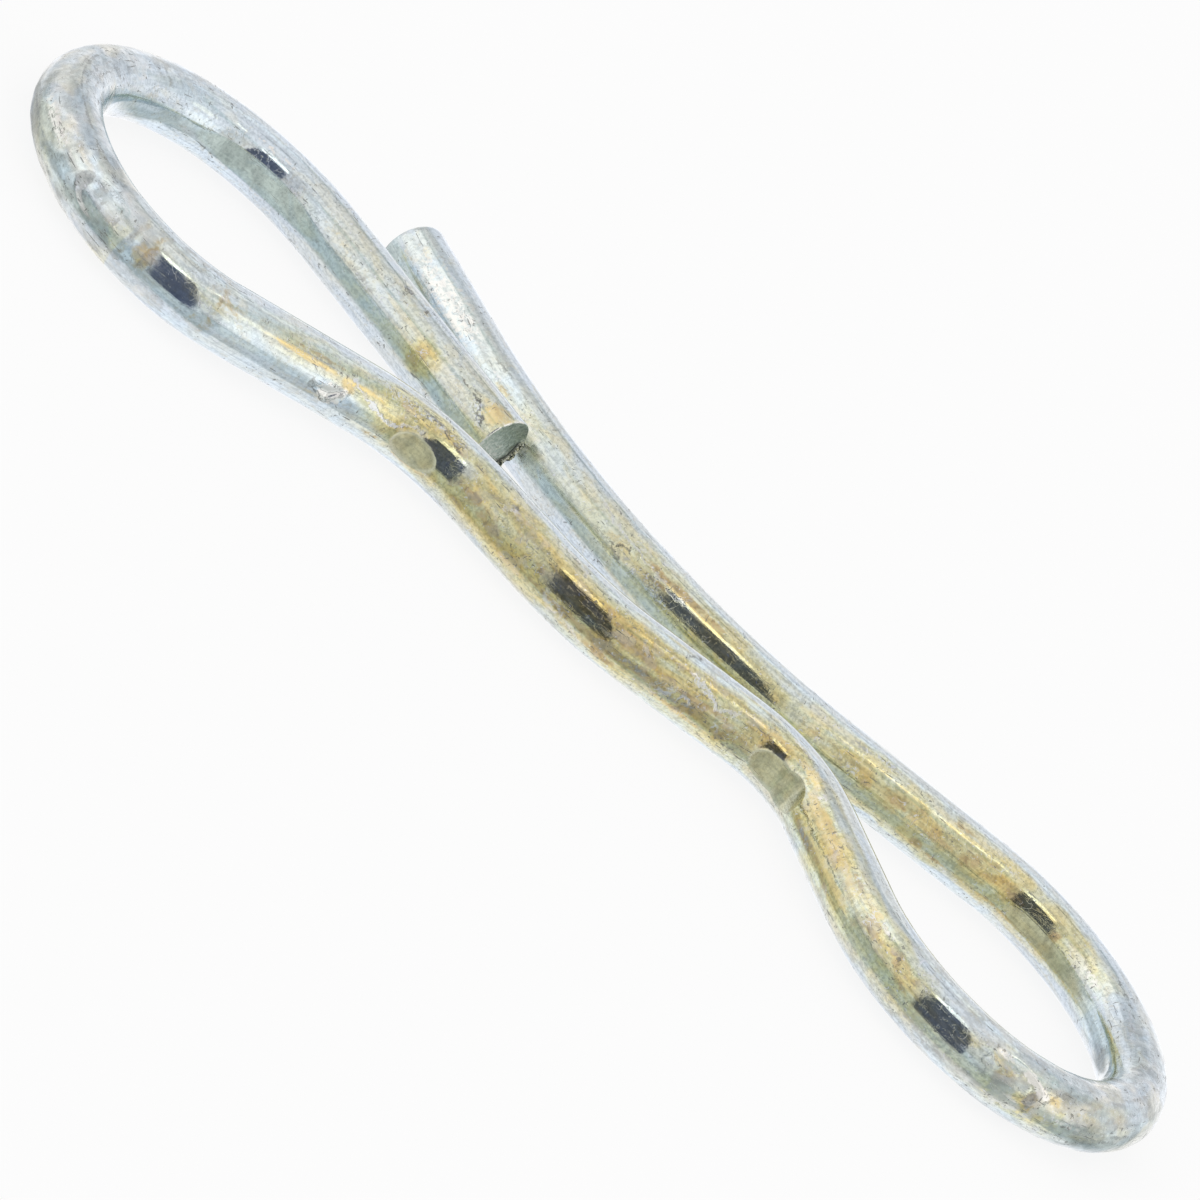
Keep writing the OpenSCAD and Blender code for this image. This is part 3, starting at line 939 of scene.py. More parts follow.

# %% [markdown]
# Golden places are where the film is even and thick, and they often lie beside a brown one. Their bright gold
# is partly a painted highlight, above all in the long golden strip before the first neck, where the wire
# mirrors bright light.

# %% Golden places, partly painted highlight
gold_and_highlight_spots = [
    # short leg
    (0.7, 56, 0.9, 26, 0.72), (11.0, 32, 0.9, 10, 0.20), (11.6, 30, 0.6, 8, 0.20),
    (12.0, 200, 3.0, 22, 0.40),
    # first loop
    (37.8, 136, 1.6, 12, 0.30), (42.75, 160, 0.35, 18, 0.75), (43.0, 166, 0.3, 20, 0.60),
    (46.8, 150, 1.2, 12, 0.20),
    # first neck
    (51.0, 141.5, 2.1, 5.5, 1.00), (52.6, 188, 0.8, 6, 0.35), (53.6, 148, 0.5, 13, 0.85, 8),
    (54.7, 140, 1.1, 5, 0.70), (56.0, 176, 1.2, 12, 0.40), (56.3, 148, 0.9, 8, 0.45),
    (66.0, 198, 1.8, 7, 0.45),
    # seat for the shaft
    (69.6, 204, 1.5, 9, 0.55), (71.2, 116, 0.4, 4, 0.50), (72.6, 170, 0.8, 4, 0.45),
    (75.0, 199, 1.8, 7, 0.70), (77.2, 178, 0.9, 10, 0.45),
    # second neck
    (78.6, 176, 0.5, 10, 0.50), (79.4, 130, 1.7, 6, 0.75), (82.6, 128, 1.5, 12, 0.68),
    (86.0, 147, 2.8, 15, 0.72), (88.2, 176, 3.2, 9, 0.66),
    # second loop
    (89.6, 150, 1.4, 10, 0.40), (91.2, 134, 1.1, 9, 0.50), (94.6, 178, 0.8, 12, 0.30),
    (98.7, 142, 0.6, 12, 0.62), (98.8, 130, 0.6, 6, 0.40), (101.6, 150, 0.50, 16, 0.90, 6),
    (102.7, 140, 0.8, 14, 0.62), (103.0, 145, 2.2, 16, 0.42), (110.0, 230, 4.0, 26, 0.35),
    (121.0, -14, 3.8, 4.5, 0.62), (125.0, -15, 2.0, 4.5, 0.62),
    # long leg
    (130.6, 14, 4.0, 8, 0.35), (132.0, 48, 6.0, 3, 0.45), (144.2, 43, 2.8, 3.5, 0.85),
    (148.2, 32, 0.9, 10, 0.35), (152.0, 215, 4.0, 22, 0.45), (156.6, 28, 0.8, 9, 0.42),
    (165.4, 44, 0.6, 12, 0.25), (165.6, 12, 0.7, 8, 0.30),
]
fields["gold_and_highlight"] = stained(gold_and_highlight_spots)

# %% [markdown]
# Grey grime sits in the scuffs, and wiping doesn't reach it there. The same grey is painted shade in the dent
# and creases of the first loop and along the edges of the knock, and a painted dark reflection in the thin
# lines near the top of the wire.

# %% Grime and painted shade
grime_and_shade_spots = [
    # short leg
    (1.6, 42, 0.35, 8, 0.52), (3.6, 60, 0.3, 6, 0.52), (6.7, 73, 0.2, 6, 0.55), (8.0, 74, 0.35, 10, 0.72),
    (9.6, 18, 0.9, 5, 0.50), (12.3, -2, 0.25, 4, 0.80),
    # first loop
    (20.0, 250, 2.0, 20, 0.40), (29.6, 84, 0.8, 4, 0.50), (30.5, 104, 1.6, 4, 0.62),
    (31.0, 112, 0.8, 3, 0.55), (32.5, 76, 1.2, 6, 0.45), (33.0, 106, 1.4, 3, 0.70),
    (34.0, 113, 0.7, 3, 0.60), (34.3, 185, 1.3, 4, 0.62), (35.4, 192, 0.4, 5, 0.55),
    (35.6, 104, 1.8, 3, 0.70), (35.8, 121, 0.6, 3, 0.60), (36.8, 186, 1.2, 4, 0.62),
    (37.7, 207, 0.3, 8, 0.60, -10), (38.2, 106, 1.0, 3, 0.60), (38.9, 190, 0.7, 4, 0.60),
    (39.25, 158, 0.34, 22, 1.00), (39.75, 176, 0.30, 8, 0.70, 12), (39.9, 140, 0.30, 6, 0.70, -14),
    (40.5, 160, 0.16, 16, 0.60), (41.35, 160, 0.12, 24, 0.55), (42.1, 162, 0.10, 26, 0.45),
    (44.0, 103, 1.5, 2, 0.45),
    # first neck
    (50.6, 150, 1.6, 1.8, 0.52, 3), (51.85, 173, 0.12, 12, 0.80, 14), (52.0, 136, 2.2, 1.8, 0.62),
    (52.3, 183, 0.30, 3, 0.75, 8), (53.2, 159, 0.5, 3, 0.60, 10), (53.3, 187, 0.5, 3, 0.75, -8),
    (54.1, 176, 0.16, 10, 0.60, -10), (57.0, 103, 1.6, 1.8, 0.50), (58.6, 113, 0.8, 3, 0.70),
    (60.0, 300, 1.5, 20, 0.45), (60.1, 125, 0.3, 3, 0.80), (60.35, 158, 0.10, 14, 0.50),
    (62.0, 101, 3.0, 1.8, 0.50), (64.1, 126, 0.25, 5, 0.60),
    # seat for the shaft
    (67.2, 105, 0.8, 5, 0.48), (72.0, 180, 0.8, 6, 0.58), (74.0, 186, 0.9, 6, 0.55),
    (74.0, 104, 0.2, 6, 0.60), (74.5, 94, 0.25, 6, 0.80), (75.0, 176, 0.7, 8, 0.52),
    # second neck
    (82.5, 158, 0.12, 16, 0.60, 4), (85.6, 187, 0.6, 5, 0.75),
    # second loop
    (95.0, 200, 4.0, 20, 0.30), (99.2, 160, 0.2, 16, 0.45), (100.6, 164, 0.25, 20, 0.75, -5),
    (103.0, 170, 0.8, 10, 0.42), (104.5, 178, 1.5, 5, 0.55), (105.5, 112, 1.0, 4, 0.52),
    (106.0, 165, 1.0, 8, 0.42), (107.5, 104, 2.0, 4, 0.50),
    # long leg
    (127.6, 78, 2.0, 3, 0.40), (129.0, 74, 0.8, 5, 0.45), (132.6, 68, 0.4, 8, 0.52),
    (134.5, 62, 0.6, 6, 0.50), (136.5, 24, 0.2, 10, 0.50), (145.2, 12, 0.8, 6, 0.52),
    (147.8, 20, 0.3, 8, 0.60),
]
fields["grime_and_shade"] = stained(grime_and_shade_spots)

# %% [markdown]
# Pale polished places are high spots, where something rubbed the film away.

# %% Polished places
pale_spots = [
    # first loop
    (17.3, 52, 1.8, 5, 0.5), (36.0, 158, 2.4, 10, 0.55),
    # first neck
    (53.0, 173, 0.75, 19, 1.0), (53.5, 160, 0.3, 6, 0.6),
    # seat for the shaft
    (66.9, 104, 1.2, 4, 0.6),
    # second neck
    (81.0, 110, 1.0, 5, 0.5), (84.2, 136, 0.2, 3, 0.8), (84.3, 128, 0.3, 4, 0.9),
    # second loop
    (92.2, 136, 0.5, 6, 0.5), (98.8, 129, 0.5, 7, 0.6), (100.2, 134, 0.42, 9, 1.0, 6),
    (100.9, 145, 0.40, 10, 1.0, 8), (102.6, 172, 1.2, 6, 0.5), (118.2, 30, 1.0, 10, 0.45),
    # long leg
    (155.0, 34, 2.0, 6, 0.35), (157.5, 40, 0.5, 4, 0.6), (162.2, 38, 3.4, 34, 0.50),
]
fields["pale"] = stained(pale_spots)

# %% [markdown]
# In flaky places the film broke into small bare flecks and dark pits.

# %% Flaky places
bare_spots = [
    # short leg
    (1.4, 32, 0.9, 12, 0.8, 18), (3.6, 60, 0.3, 5, 0.6), (8.0, 72, 0.5, 8, 0.6), (9.5, 16, 0.7, 6, 0.5),
    # first loop
    (41.0, 160, 2.2, 26, 0.35),
    # first neck
    (55.6, 112, 1.4, 7, 0.6), (57.5, 118, 2.2, 7, 0.9), (59.9, 114, 0.9, 6, 0.8),
    (61.8, 152, 0.5, 8, 0.4), (64.0, 130, 0.5, 7, 0.45),
    # seat for the shaft
    (67.2, 107, 1.6, 6, 0.6), (68.2, 192, 0.8, 12, 0.45), (73.8, 180, 0.9, 12, 0.50),
    (75.6, 146, 1.3, 9, 0.55, 10),
    # second neck
    (87.0, 148, 3.0, 14, 0.30),
    # second loop
    (98.6, 126, 0.7, 6, 0.8), (99.6, 138, 0.5, 8, 0.5), (102.0, 140, 2.0, 20, 0.30),
    (125.2, 52, 0.4, 10, 0.4),
    # long leg
    (133.0, 68, 1.2, 6, 0.7), (134.6, 20, 1.2, 10, 0.55), (145.5, 14, 1.0, 8, 0.8),
    (146.4, 26, 0.8, 8, 0.8),
]
fields["bare"] = stained(bare_spots)

# %% [markdown]
# The last fields say where the tools and the shear left bare metal, so that the material can give the facets
# their smooth look, the cut face its grey-green tear, and the burr its crumbs, painted dark and bright as
# shade and highlight. They also mark the lip and the rims round the tool marks, which get painted highlights,
# and the crack behind the burr, which gets a painted shadow.

# %% Scuffs, tool marks and ends
fields["dull"] = dullness
fields["pressed"] = pressed
# the band round the tool marks that gets a painted straw highlight
fields["rim_highlight"] = rim_highlight
cut = np.zeros(S.shape)
# the whole sheared face up to its round, and, more weakly, the flat of the tumbled end
cut[:last_short - 1] = 1
cut[first_long + len(tumble_angles):] = 0.6
fields["cut"] = cut
# the lip's round, which the material paints as a bright highlight
lip_ring = soft(RADIUS, wire_r - lip - 0.03, wire_r - lip + 0.01)
fields["lip"] = lip_side * lip_ring * (1 - soft(S, 0.04, 0.09))
burr_ring = soft(RADIUS, wire_r - burr_width, wire_r - 0.30)
fields["crumbled"] = burr_side * burr_ring * (1 - soft(S, 0.12, 0.26))
# a thin ring on the face, painted black as the shadow in the crack behind the burr
crack_inset, crack_width = 0.38, 0.06
fields["burr_crack_shadow"] = burr_side * ridge(RADIUS - wire_r + crack_inset, crack_width) * (S < 0.02)
# a rougher place on the long leg, just behind the sheared end
fields["smeared"] = spot(154.0, 22, 3.8, 48)
for name, field in fields.items():
    print(f"{name:9s} from {field.min():.2f} to {field.max():.2f}")

# %% [markdown]
# ## Lines on the surface
# Fine lines are thinner than the mesh, so a field of 0 to 1 can't hold them. But the distance to a line is
# a smooth number, and where it passes through zero the material can draw it as thin as it likes.
# So each vertex stores how far it is to one side of the nearest line, and how strong that line is there.

# %% Scratches, creases and raised lines
# points (s, turn) and strength; positive lines are raised and bright, negative ones are dark scratches
fine_lines = [
    ([(53.7, 135), (54.2, 142), (54.8, 152), (55.4, 160), (56.3, 167), (56.9, 164), (57.2, 156)], 0.9),
    ([(57.2, 156), (57.8, 148), (58.3, 146)], 0.55),
    ([(144.5, 37), (146.3, 39), (147.4, 43), (149.0, 47), (150.0, 56)], 0.5),
    ([(51.9, 171), (52.4, 181), (53.0, 192)], -0.75),
    ([(53.0, 192), (53.4, 174), (53.75, 155)], -0.55),
    ([(51.9, 171), (52.7, 163), (53.6, 154)], -0.45),
    ([(147.6, 43), (148.1, 32), (148.5, 20)], -0.8),
    ([(147.7, 9), (148.5, 19)], -0.6),
    ([(147.1, 55), (147.5, 74)], 0.4),
    ([(20.9, 40), (21.2, 28), (21.3, 16)], -0.45),
    ([(118.0, 14), (118.6, 28), (119.4, 42)], -0.40),
    ([(113.2, 50), (114.8, 55), (115.6, 66)], 0.4),
    ([(114.6, 66), (116.5, 68), (117.6, 72)], -0.6),
    ([(0.7, 22), (0.9, 28), (1.3, 33), (1.7, 42), (1.95, 52)], -1.0),
    ([(1.9, 43), (2.6, 44), (3.0, 46)], -0.8),
    ([(0.55, 30), (0.75, 24)], -0.7),
    ([(1.1, 24), (1.5, 30)], -0.6),
    ([(58.3, 113), (59.0, 118), (59.6, 126), (60.4, 129)], -1.0),
    ([(57.2, 108), (58.4, 112), (60.6, 116)], -0.5),
    ([(84.2, 168), (86.5, 169), (88.9, 168)], -0.6),
    ([(154.1, 62), (154.1, 80)], -0.5),
    ([(67.5, 180), (67.55, 190), (67.9, 199)], 0.45),
    ([(68.05, 179), (68.35, 192), (68.1, 206)], 0.40),
    ([(68.9, 197), (69.4, 205), (69.8, 214)], 0.40),
    ([(71.75, 137), (71.95, 147), (72.2, 153)], 0.45),
    ([(74.3, 131), (74.9, 136), (75.5, 142), (76.0, 149), (76.15, 155)], 0.70),
    ([(76.2, 157), (76.6, 151), (77.0, 144), (77.25, 137)], 0.60),
    ([(73.6, 182), (73.8, 190)], 0.55),
    ([(74.05, 170), (74.15, 182)], 0.50),
    ([(74.75, 168), (75.0, 174)], 0.70),
    ([(76.6, 174), (76.9, 186)], 0.40),
    ([(64.3, 127), (64.1, 133), (63.7, 137), (63.9, 142)], 0.60),
    ([(64.1, 122), (64.2, 127)], -0.8),
    ([(60.2, 122), (60.35, 131)], -0.9),
    ([(68.2, 98), (68.1, 118)], 0.45),
    ([(66.4, 108), (66.6, 116)], -0.5),
    ([(74.6, 92), (74.5, 100)], -0.8),
    ([(74.1, 104), (73.9, 112)], -0.6),
    ([(78.6, 106), (80.2, 112), (82.2, 112)], -0.5),
    ([(8.0, 62), (8.2, 72), (8.5, 80)], -0.8),
    ([(7.7, 70), (8.1, 74)], -0.6),
    ([(6.6, 72), (6.7, 79)], -0.7),
    ([(157.3, 57), (158.6, 54)], -0.5),
    ([(98.3, 142), (98.1, 156), (98.5, 172)], -0.35),
    ([(93.0, 178), (92.0, 166), (91.4, 150)], -0.30),
    ([(101.6, 138), (101.3, 152), (101.0, 168)], -0.55),
    ([(29.4, 70), (31.0, 74), (31.6, 80)], -0.5),
    ([(30.5, 92), (33.0, 95), (34.5, 97)], -0.45),
    ([(31.2, 74), (31.0, 82), (31.6, 86)], -0.5),
]
print(f"{len(fine_lines)} lines")

# %% Distance to the nearest line
far_from_lines = 3.0
line_offset = np.full(S.shape, far_from_lines)
line_strength = np.zeros(S.shape)
nearest = np.full(S.shape, far_from_lines)
for points, strength in fine_lines:
    for (s0, t0), (s1, t1) in zip(points[:-1], points[1:]):
        run = np.array([s1 - s0, math.radians(t1 - t0) * wire_r])
        length = np.linalg.norm(run)
        x, y = S - s0, np.radians(off_turn(t0)) * wire_r
        share = (x * run[0] + y * run[1]) / length ** 2
        sideways = (x * run[1] - y * run[0]) / length
        beyond = np.maximum(np.maximum(-share, share - 1), 0) * length
        total = np.hypot(sideways, beyond)
        closer = total < nearest
        nearest[closer] = total[closer]
        line_offset[closer] = sideways[closer]
        line_strength[closer] = (strength * (1 - soft(beyond, 0.0, 0.15)))[closer]
fields["line_offset"] = line_offset
fields["line_strength"] = line_strength * (1 - soft(nearest, 0.5, 1.0))
print(f"{100 * (nearest < 0.5).mean():.1f}% of the points lie within half a millimetre of a line")

# %% [markdown]
# ## The mesh
# Rings become quads, and each end face closes with a small fan. The straightened coordinates go with it:
# where each point was while the wire was still straight. Textures that use them run along the wire
# through every bend, as the lines of the drawing die do, with no seam. bmesh could add the faces one by one,
# but `from_pydata` takes them all at once.

# %% Build the mesh
count = len(rings)
vertices = skin.reshape(-1, 3) * MM
index = np.arange(count * around).reshape(count, around)
quads = np.stack([index[:-1], np.roll(index[:-1], -1, 1), np.roll(index[1:], -1, 1), index[1:]], -1)
ends = [skin[0].mean(0) * MM, skin[-1].mean(0) * MM]
first_end, last_end = len(vertices), len(vertices) + 1
fans = np.concatenate([
    np.stack([np.roll(index[0], -1), index[0], np.full(around, first_end)], -1),
    np.stack([index[-1], np.roll(index[-1], -1), np.full(around, last_end)], -1)])
wire_mesh = bpy.data.meshes.new("bent_wire")
wire_mesh.from_pydata(np.concatenate([vertices, ends]).tolist(), [],
                      quads.reshape(-1, 4)[:, ::-1].tolist() + fans.tolist())
wire_mesh.update()
wire_mesh.shade_smooth()
wire = bpy.data.objects.new("bent_wire", wire_mesh)
bpy.context.scene.collection.objects.link(wire)
triangles = sum(len(face.vertices) - 2 for face in wire_mesh.polygons)
print(f"{len(wire_mesh.vertices)} vertices, {triangles} triangles")


# %% Store the fields on the mesh
def store(name, values, kind="FLOAT"):
    """Keeps a number, or a place, for each vertex under this name."""
    made = wire_mesh.attributes.new(name, kind, "POINT")
    made.data.foreach_set("value" if kind == "FLOAT" else "vector", values.astype(np.float32).ravel())


for name, field in fields.items():
    store(name, np.concatenate([field.ravel(), [field[0].mean(), field[-1].mean()]]))
straight = np.stack([S, RADIUS * np.cos(np.radians(TURN)), RADIUS * np.sin(np.radians(TURN))], -1)
straight_ends = [[0, 0, 0], [wire_length, 0, 0]]
store("straightened", np.concatenate([straight.reshape(-1, 3), straight_ends]), "FLOAT_VECTOR")
print(f"{len(fields) + 1} fields stored")

# %% [markdown]
# ## Zinc plate with a chromate film
# Zinc is a pale, slightly blue metal. Chromate leaves a film on it whose colour follows its
# thickness: straw, olive, golden, brown. So the material first works out a thickness
# from the painted field and from noise at several scales, and a ramp turns it into colour. Stains,
# bare flecks and dark specks come on top of it, each as one more mix over the colour below.
# One Principled shader carries it all. It is fully metallic, so its colour tints all that it mirrors. A
# painted image could hold the same marks, but it would blur close up, and nodes stay sharp.

# %% Start the material
zinc = bpy.data.materials.new("zinc_plate")
zinc.use_nodes = True
plate = zinc.node_tree
shader = plate.nodes["Principled BSDF"]
shader.inputs["Metallic"].default_value = 1


def painted(name, output="Fac"):
    """Reads a field that is stored on the mesh."""
    return node(plate, "ShaderNodeAttribute", attribute_name=name).outputs[output]


on_wire = painted("straightened", "Vector")


# %% Helpers for sums
def add(*parts):
    """The sum of any number of values."""
    total = parts[0]
    for part in parts[1:]:
        total = math_node(plate, "ADD", total, part)
    return total


def times(a, b):
    """One value times another."""
    return math_node(plate, "MULTIPLY", a, b)


def centred(value, strength):
    """Noise moved to lie round zero."""
    return math_node(plate, "MULTIPLY_ADD", value, 2 * strength, -strength)


def following(field, share, base):
    """A strength that grows with a field, and stays from 0 to 1."""
    return math_node(plate, "MULTIPLY_ADD", field, share, base, clamp=True)


# %% Helpers for noise
def grain(along, around_wire, detail=2.0, roughness=0.5, distortion=0.0, seed=0.0):
    """Noise of about 0 to 1 with this many waves per mm along and round the wire."""
    scaled = node(plate, "ShaderNodeVectorMath", operation="MULTIPLY_ADD")
    plug(plate, on_wire, scaled.inputs[0])
    scaled.inputs[1].default_value = (along, around_wire, around_wire)
    scaled.inputs[2].default_value = (seed, seed * 1.7, seed * 0.6)
    made = node(plate, "ShaderNodeTexNoise")
    plug(plate, scaled.outputs[0], made.inputs["Vector"])
    for name, value in (("Scale", 1.0), ("Detail", detail), ("Roughness", roughness),
                        ("Distortion", distortion)):
        made.inputs[name].default_value = value
    return made.outputs[0]


def mottle(along, around_wire, seed, detail=2.0, roughness=0.5, distortion=0.3, low=0.40, high=0.60):
    """Patchy noise that reaches 0 and 1."""
    return step_up(plate, grain(along, around_wire, detail, roughness, distortion, seed), low, high)


def ragged_mask(field, noise, wander_by, soft_edge):
    """A painted field cut off along a ragged line that the noise moves."""
    return step_up(plate, add(field, centred(noise, wander_by)), 0.5 - soft_edge, 0.5 + soft_edge)


# %% Helpers for colour
def tinted(colour, amount, shades):
    """Multiplies the colour by a ramp of tints."""
    return mix_colour(plate, amount, colour, shades, "MULTIPLY")


def covered(colour, mask, strength, shade):
    """Lays a shade, or a ramp of shades, on the colour where the mask is, this strongly."""
    return mix_colour(plate, times(mask, strength), colour, shade)


# %% [markdown]
# ### Thickness of the film
# Noise at four scales makes the painted level uneven: broad clouds, blotches, streaks along the wire and
# fine flecks. It is multiplied by the level, so that bare zinc stays clean.

# %% Thickness of the film
broad = mottle(0.30, 0.80, 3.1)
blotch = mottle(1.2, 1.5, 11.0, 3)
streak = mottle(0.40, 4.5, 17.0)
fleck = mottle(4.5, 4.5, 23.0)
film_field = painted("film")
brown_field = painted("brown")
uneven = add(centred(broad, 0.22), centred(blotch, 0.10), centred(streak, 0.08), centred(fleck, 0.02))
thick = add(film_field, times(film_field, uneven), times(brown_field, 0.08))
print(f"{len(plate.nodes)} nodes up to the thickness")

# %% [markdown]
# ### Colour of the film
# The ramp goes from bluish zinc to straw, olive gold and brown. On top come long patches that lean to
# blue or orange, a fine light and dark grain, and lines that run along the wire, because a film
# grows a little differently on each line that the drawing die left.

# %% Colour by thickness
film_colours = [
    (0.00, (0.695, 0.780, 0.845)),
    (0.14, (0.722, 0.788, 0.785)),
    (0.30, (0.736, 0.756, 0.625)),
    (0.46, (0.718, 0.705, 0.470)),
    (0.62, (0.680, 0.622, 0.345)),
    (0.80, (0.600, 0.495, 0.240)),
    (1.00, (0.480, 0.355, 0.160)),
]
colour = ramp(plate, thick, film_colours)
print(f"{len(film_colours)} colours from bare zinc to the thickest film")

# %% Patches, grain and lines in the film
hue = ramp(plate, mottle(0.45, 1.0, 31.0, 2, 0.5, 0.8), [
    (0.0, (0.965, 1.0, 1.06)), (0.5, (1.0, 1.0, 0.97)), (1.0, (1.06, 0.965, 0.80))])
colour = tinted(colour, following(film_field, 1.1, 0.28), hue)
shade = ramp(plate, mottle(5.6, 5.6, 37.0, 3, 0.6), [
    (0.0, (0.80, 0.81, 0.82)), (0.45, (1.01, 1.01, 1.01)), (1.0, (1.11, 1.11, 1.11))])
colour = tinted(colour, following(film_field, 0.8, 0.60), shade)
lines_along = ramp(plate, mottle(0.30, 7.0, 39.0, 3), [
    (0.0, (0.89, 0.90, 0.91)), (0.4, (1.01, 1.01, 1.01)), (1.0, (1.06, 1.06, 1.06))])
colour = tinted(colour, 0.75, lines_along)
print(f"{len(plate.nodes)} nodes up to the film's colour")

# %% [markdown]
# ### Stains, and gold that is partly painted highlight
# A stain is never a clean oval. Noise moves the edge of each painted spot, so that it breaks up. Brown
# stains get a wide, weak halo first and then a ragged core.

# %% Golden places with painted highlights, and brown stains
stain_noise = add(times(blotch, 0.6), times(fleck, 0.4))
# golden film, brighter where it is a painted highlight
gold_and_highlight_mask = ragged_mask(painted("gold_and_highlight"), stain_noise, 0.22, 0.38)
gold_and_highlight_shades = ramp(plate, blotch, [(0.0, (0.76, 0.60, 0.30)), (1.0, (0.94, 0.76, 0.38))])
colour = covered(colour, gold_and_highlight_mask, 0.85, gold_and_highlight_shades)

brown_halo = (0.680, 0.560, 0.290, 1)
halo_mask = step_up(plate, add(brown_field, centred(stain_noise, 0.24)), 0.12, 0.55)
colour = covered(colour, halo_mask, 0.45, brown_halo)
brown_mask = ragged_mask(brown_field, stain_noise, 0.30, 0.28)
brown_shades = ramp(plate, mottle(2.6, 2.6, 43.0, 3), [
    (0.0, (0.36, 0.28, 0.16)), (0.5, (0.52, 0.39, 0.20)), (1.0, (0.64, 0.50, 0.29))])
colour = covered(colour, brown_mask, 0.80, brown_shades)
print(f"{len(plate.nodes)} nodes with the stains")

# %% [markdown]
# ### Scuffs
# The loops rubbed on other pins in the plating barrel. There the zinc is cloudy, from grey to pale, with
# a faint blue or yellow cast and a coarser grain.

# %% Scuffed zinc
scuffed = painted("dull")
cloud = grain(0.55, 0.80, 3, 0.55, 0.8, 41.0)
cloud_shades = ramp(plate, cloud, [
    (0.38, (0.40, 0.43, 0.44)), (0.46, (0.57, 0.61, 0.62)),
    (0.55, (0.71, 0.75, 0.76)), (0.63, (0.83, 0.85, 0.85))])
scuff_mask = ragged_mask(scuffed, blotch, 0.30, 0.30)
colour = covered(colour, scuff_mask, 0.72, cloud_shades)
scuff_hue = ramp(plate, mottle(0.5, 0.8, 47.0), [
    (0.0, (0.95, 1.0, 1.04)), (0.5, (1.0, 1.0, 1.0)), (1.0, (1.04, 1.0, 0.90))])
colour = tinted(colour, scuffed, scuff_hue)
scuff_grain = ramp(plate, mottle(3.6, 3.6, 53.0, 2), [
    (0.0, (0.86, 0.86, 0.86)), (0.6, (1.02, 1.02, 1.02)), (1.0, (1.07, 1.07, 1.07))])
colour = tinted(colour, times(scuffed, 0.8), scuff_grain)
print(f"{len(plate.nodes)} nodes with the scuffs")

# %% [markdown]
# ### Grime, painted shade and polish
# Grime and polish came last, from handling, so they lie over the scuffs. The grime's grey also paints shade in
# the dents and creases, and dark reflections near the top of the wire.

# %% Grime, painted shade and polish
polished_zinc = (0.930, 0.910, 0.860, 1)
grime_and_shade_noise = add(times(fleck, 0.6), times(mottle(3.0, 3.0, 57.0), 0.4))
# dark grey for grime, and for painted shade in dents and creases and painted dark reflections
grime_and_shade_mask = ragged_mask(painted("grime_and_shade"), grime_and_shade_noise, 0.34, 0.26)
grime_and_shade_tones = ramp(plate, fleck, [(0.0, (0.25, 0.26, 0.27)), (1.0, (0.44, 0.46, 0.45))])
colour = covered(colour, grime_and_shade_mask, 0.72, grime_and_shade_tones)
pale_mask = ragged_mask(painted("pale"), fleck, 0.20, 0.26)
colour = covered(colour, pale_mask, 0.90, polished_zinc)
print(f"{len(plate.nodes)} nodes with grime and polish")

# %% [markdown]
# ### Flecks, specks and nicks
# One noise gives both the bare flecks and the dark pits of the flaky places: its high parts are flecks and
# its low parts are pits, so they lie side by side. Specks, nicks along the wire, nicks across it and tiny
# glints are all over the pin, a little denser where it is worn. Each is a noise cut off near its top, so
# that only its rare peaks show.

# %% Flecks and pits in the flaky places
bare_zinc = (0.73, 0.78, 0.84, 1)
pit_dirt = (0.27, 0.26, 0.23, 1)
bare_field = painted("bare")
flake = grain(4.2, 5.0, 2, 0.5, 1.2, 71.0)
bare_mask = times(step_up(plate, flake, 0.545, 0.585), step_up(plate, bare_field, 0.10, 0.75))
colour = covered(colour, bare_mask, 0.75, bare_zinc)
pit_mask = times(step_up(plate, flake, 0.430, 0.395), step_up(plate, bare_field, 0.20, 0.80))
colour = covered(colour, pit_mask, 0.70, pit_dirt)
print(f"{len(plate.nodes)} nodes with flecks and pits")

# %% Specks, nicks and glints
nick_dirt = (0.20, 0.20, 0.19, 1)
glint_zinc = (0.84, 0.87, 0.95, 1)
crowd = mottle(0.5, 0.9, 87.0, 3)
wear_here = add(times(scuffed, 0.008), times(film_field, 0.008), centred(crowd, 0.040))
specks = step_up(plate, add(grain(4.8, 5.6, 3, 0.6, 0.5, 83.0), wear_here), 0.668, 0.698)
nicks = step_up(plate, add(grain(1.0, 9.5, 1, 0.5, 0.0, 84.0), wear_here), 0.735, 0.760)
cross_nicks = step_up(plate, add(grain(7.5, 2.2, 1, 0.5, 0.3, 85.0), wear_here), 0.765, 0.790)
marks = math_node(plate, "MAXIMUM", specks, math_node(plate, "MAXIMUM", nicks, cross_nicks))
colour = covered(colour, marks, 0.70, nick_dirt)
glints = step_up(plate, add(grain(6.5, 6.5, 2, 0.5, 0.4, 89.0), times(film_field, 0.01)), 0.675, 0.715)
colour = covered(colour, glints, 0.55, glint_zinc)
print(f"{len(plate.nodes)} nodes with specks and nicks")

# %% [markdown]
# ### Hairlines and cracks
# Where a noise passes through its middle value it draws a long wandering line. Cut off very narrowly, and
# masked so that only some stretches are left, it gives bright hairlines and dark cracks in the film. They
# could be listed like the lines further down, but nobody looks for one hairline by its place.

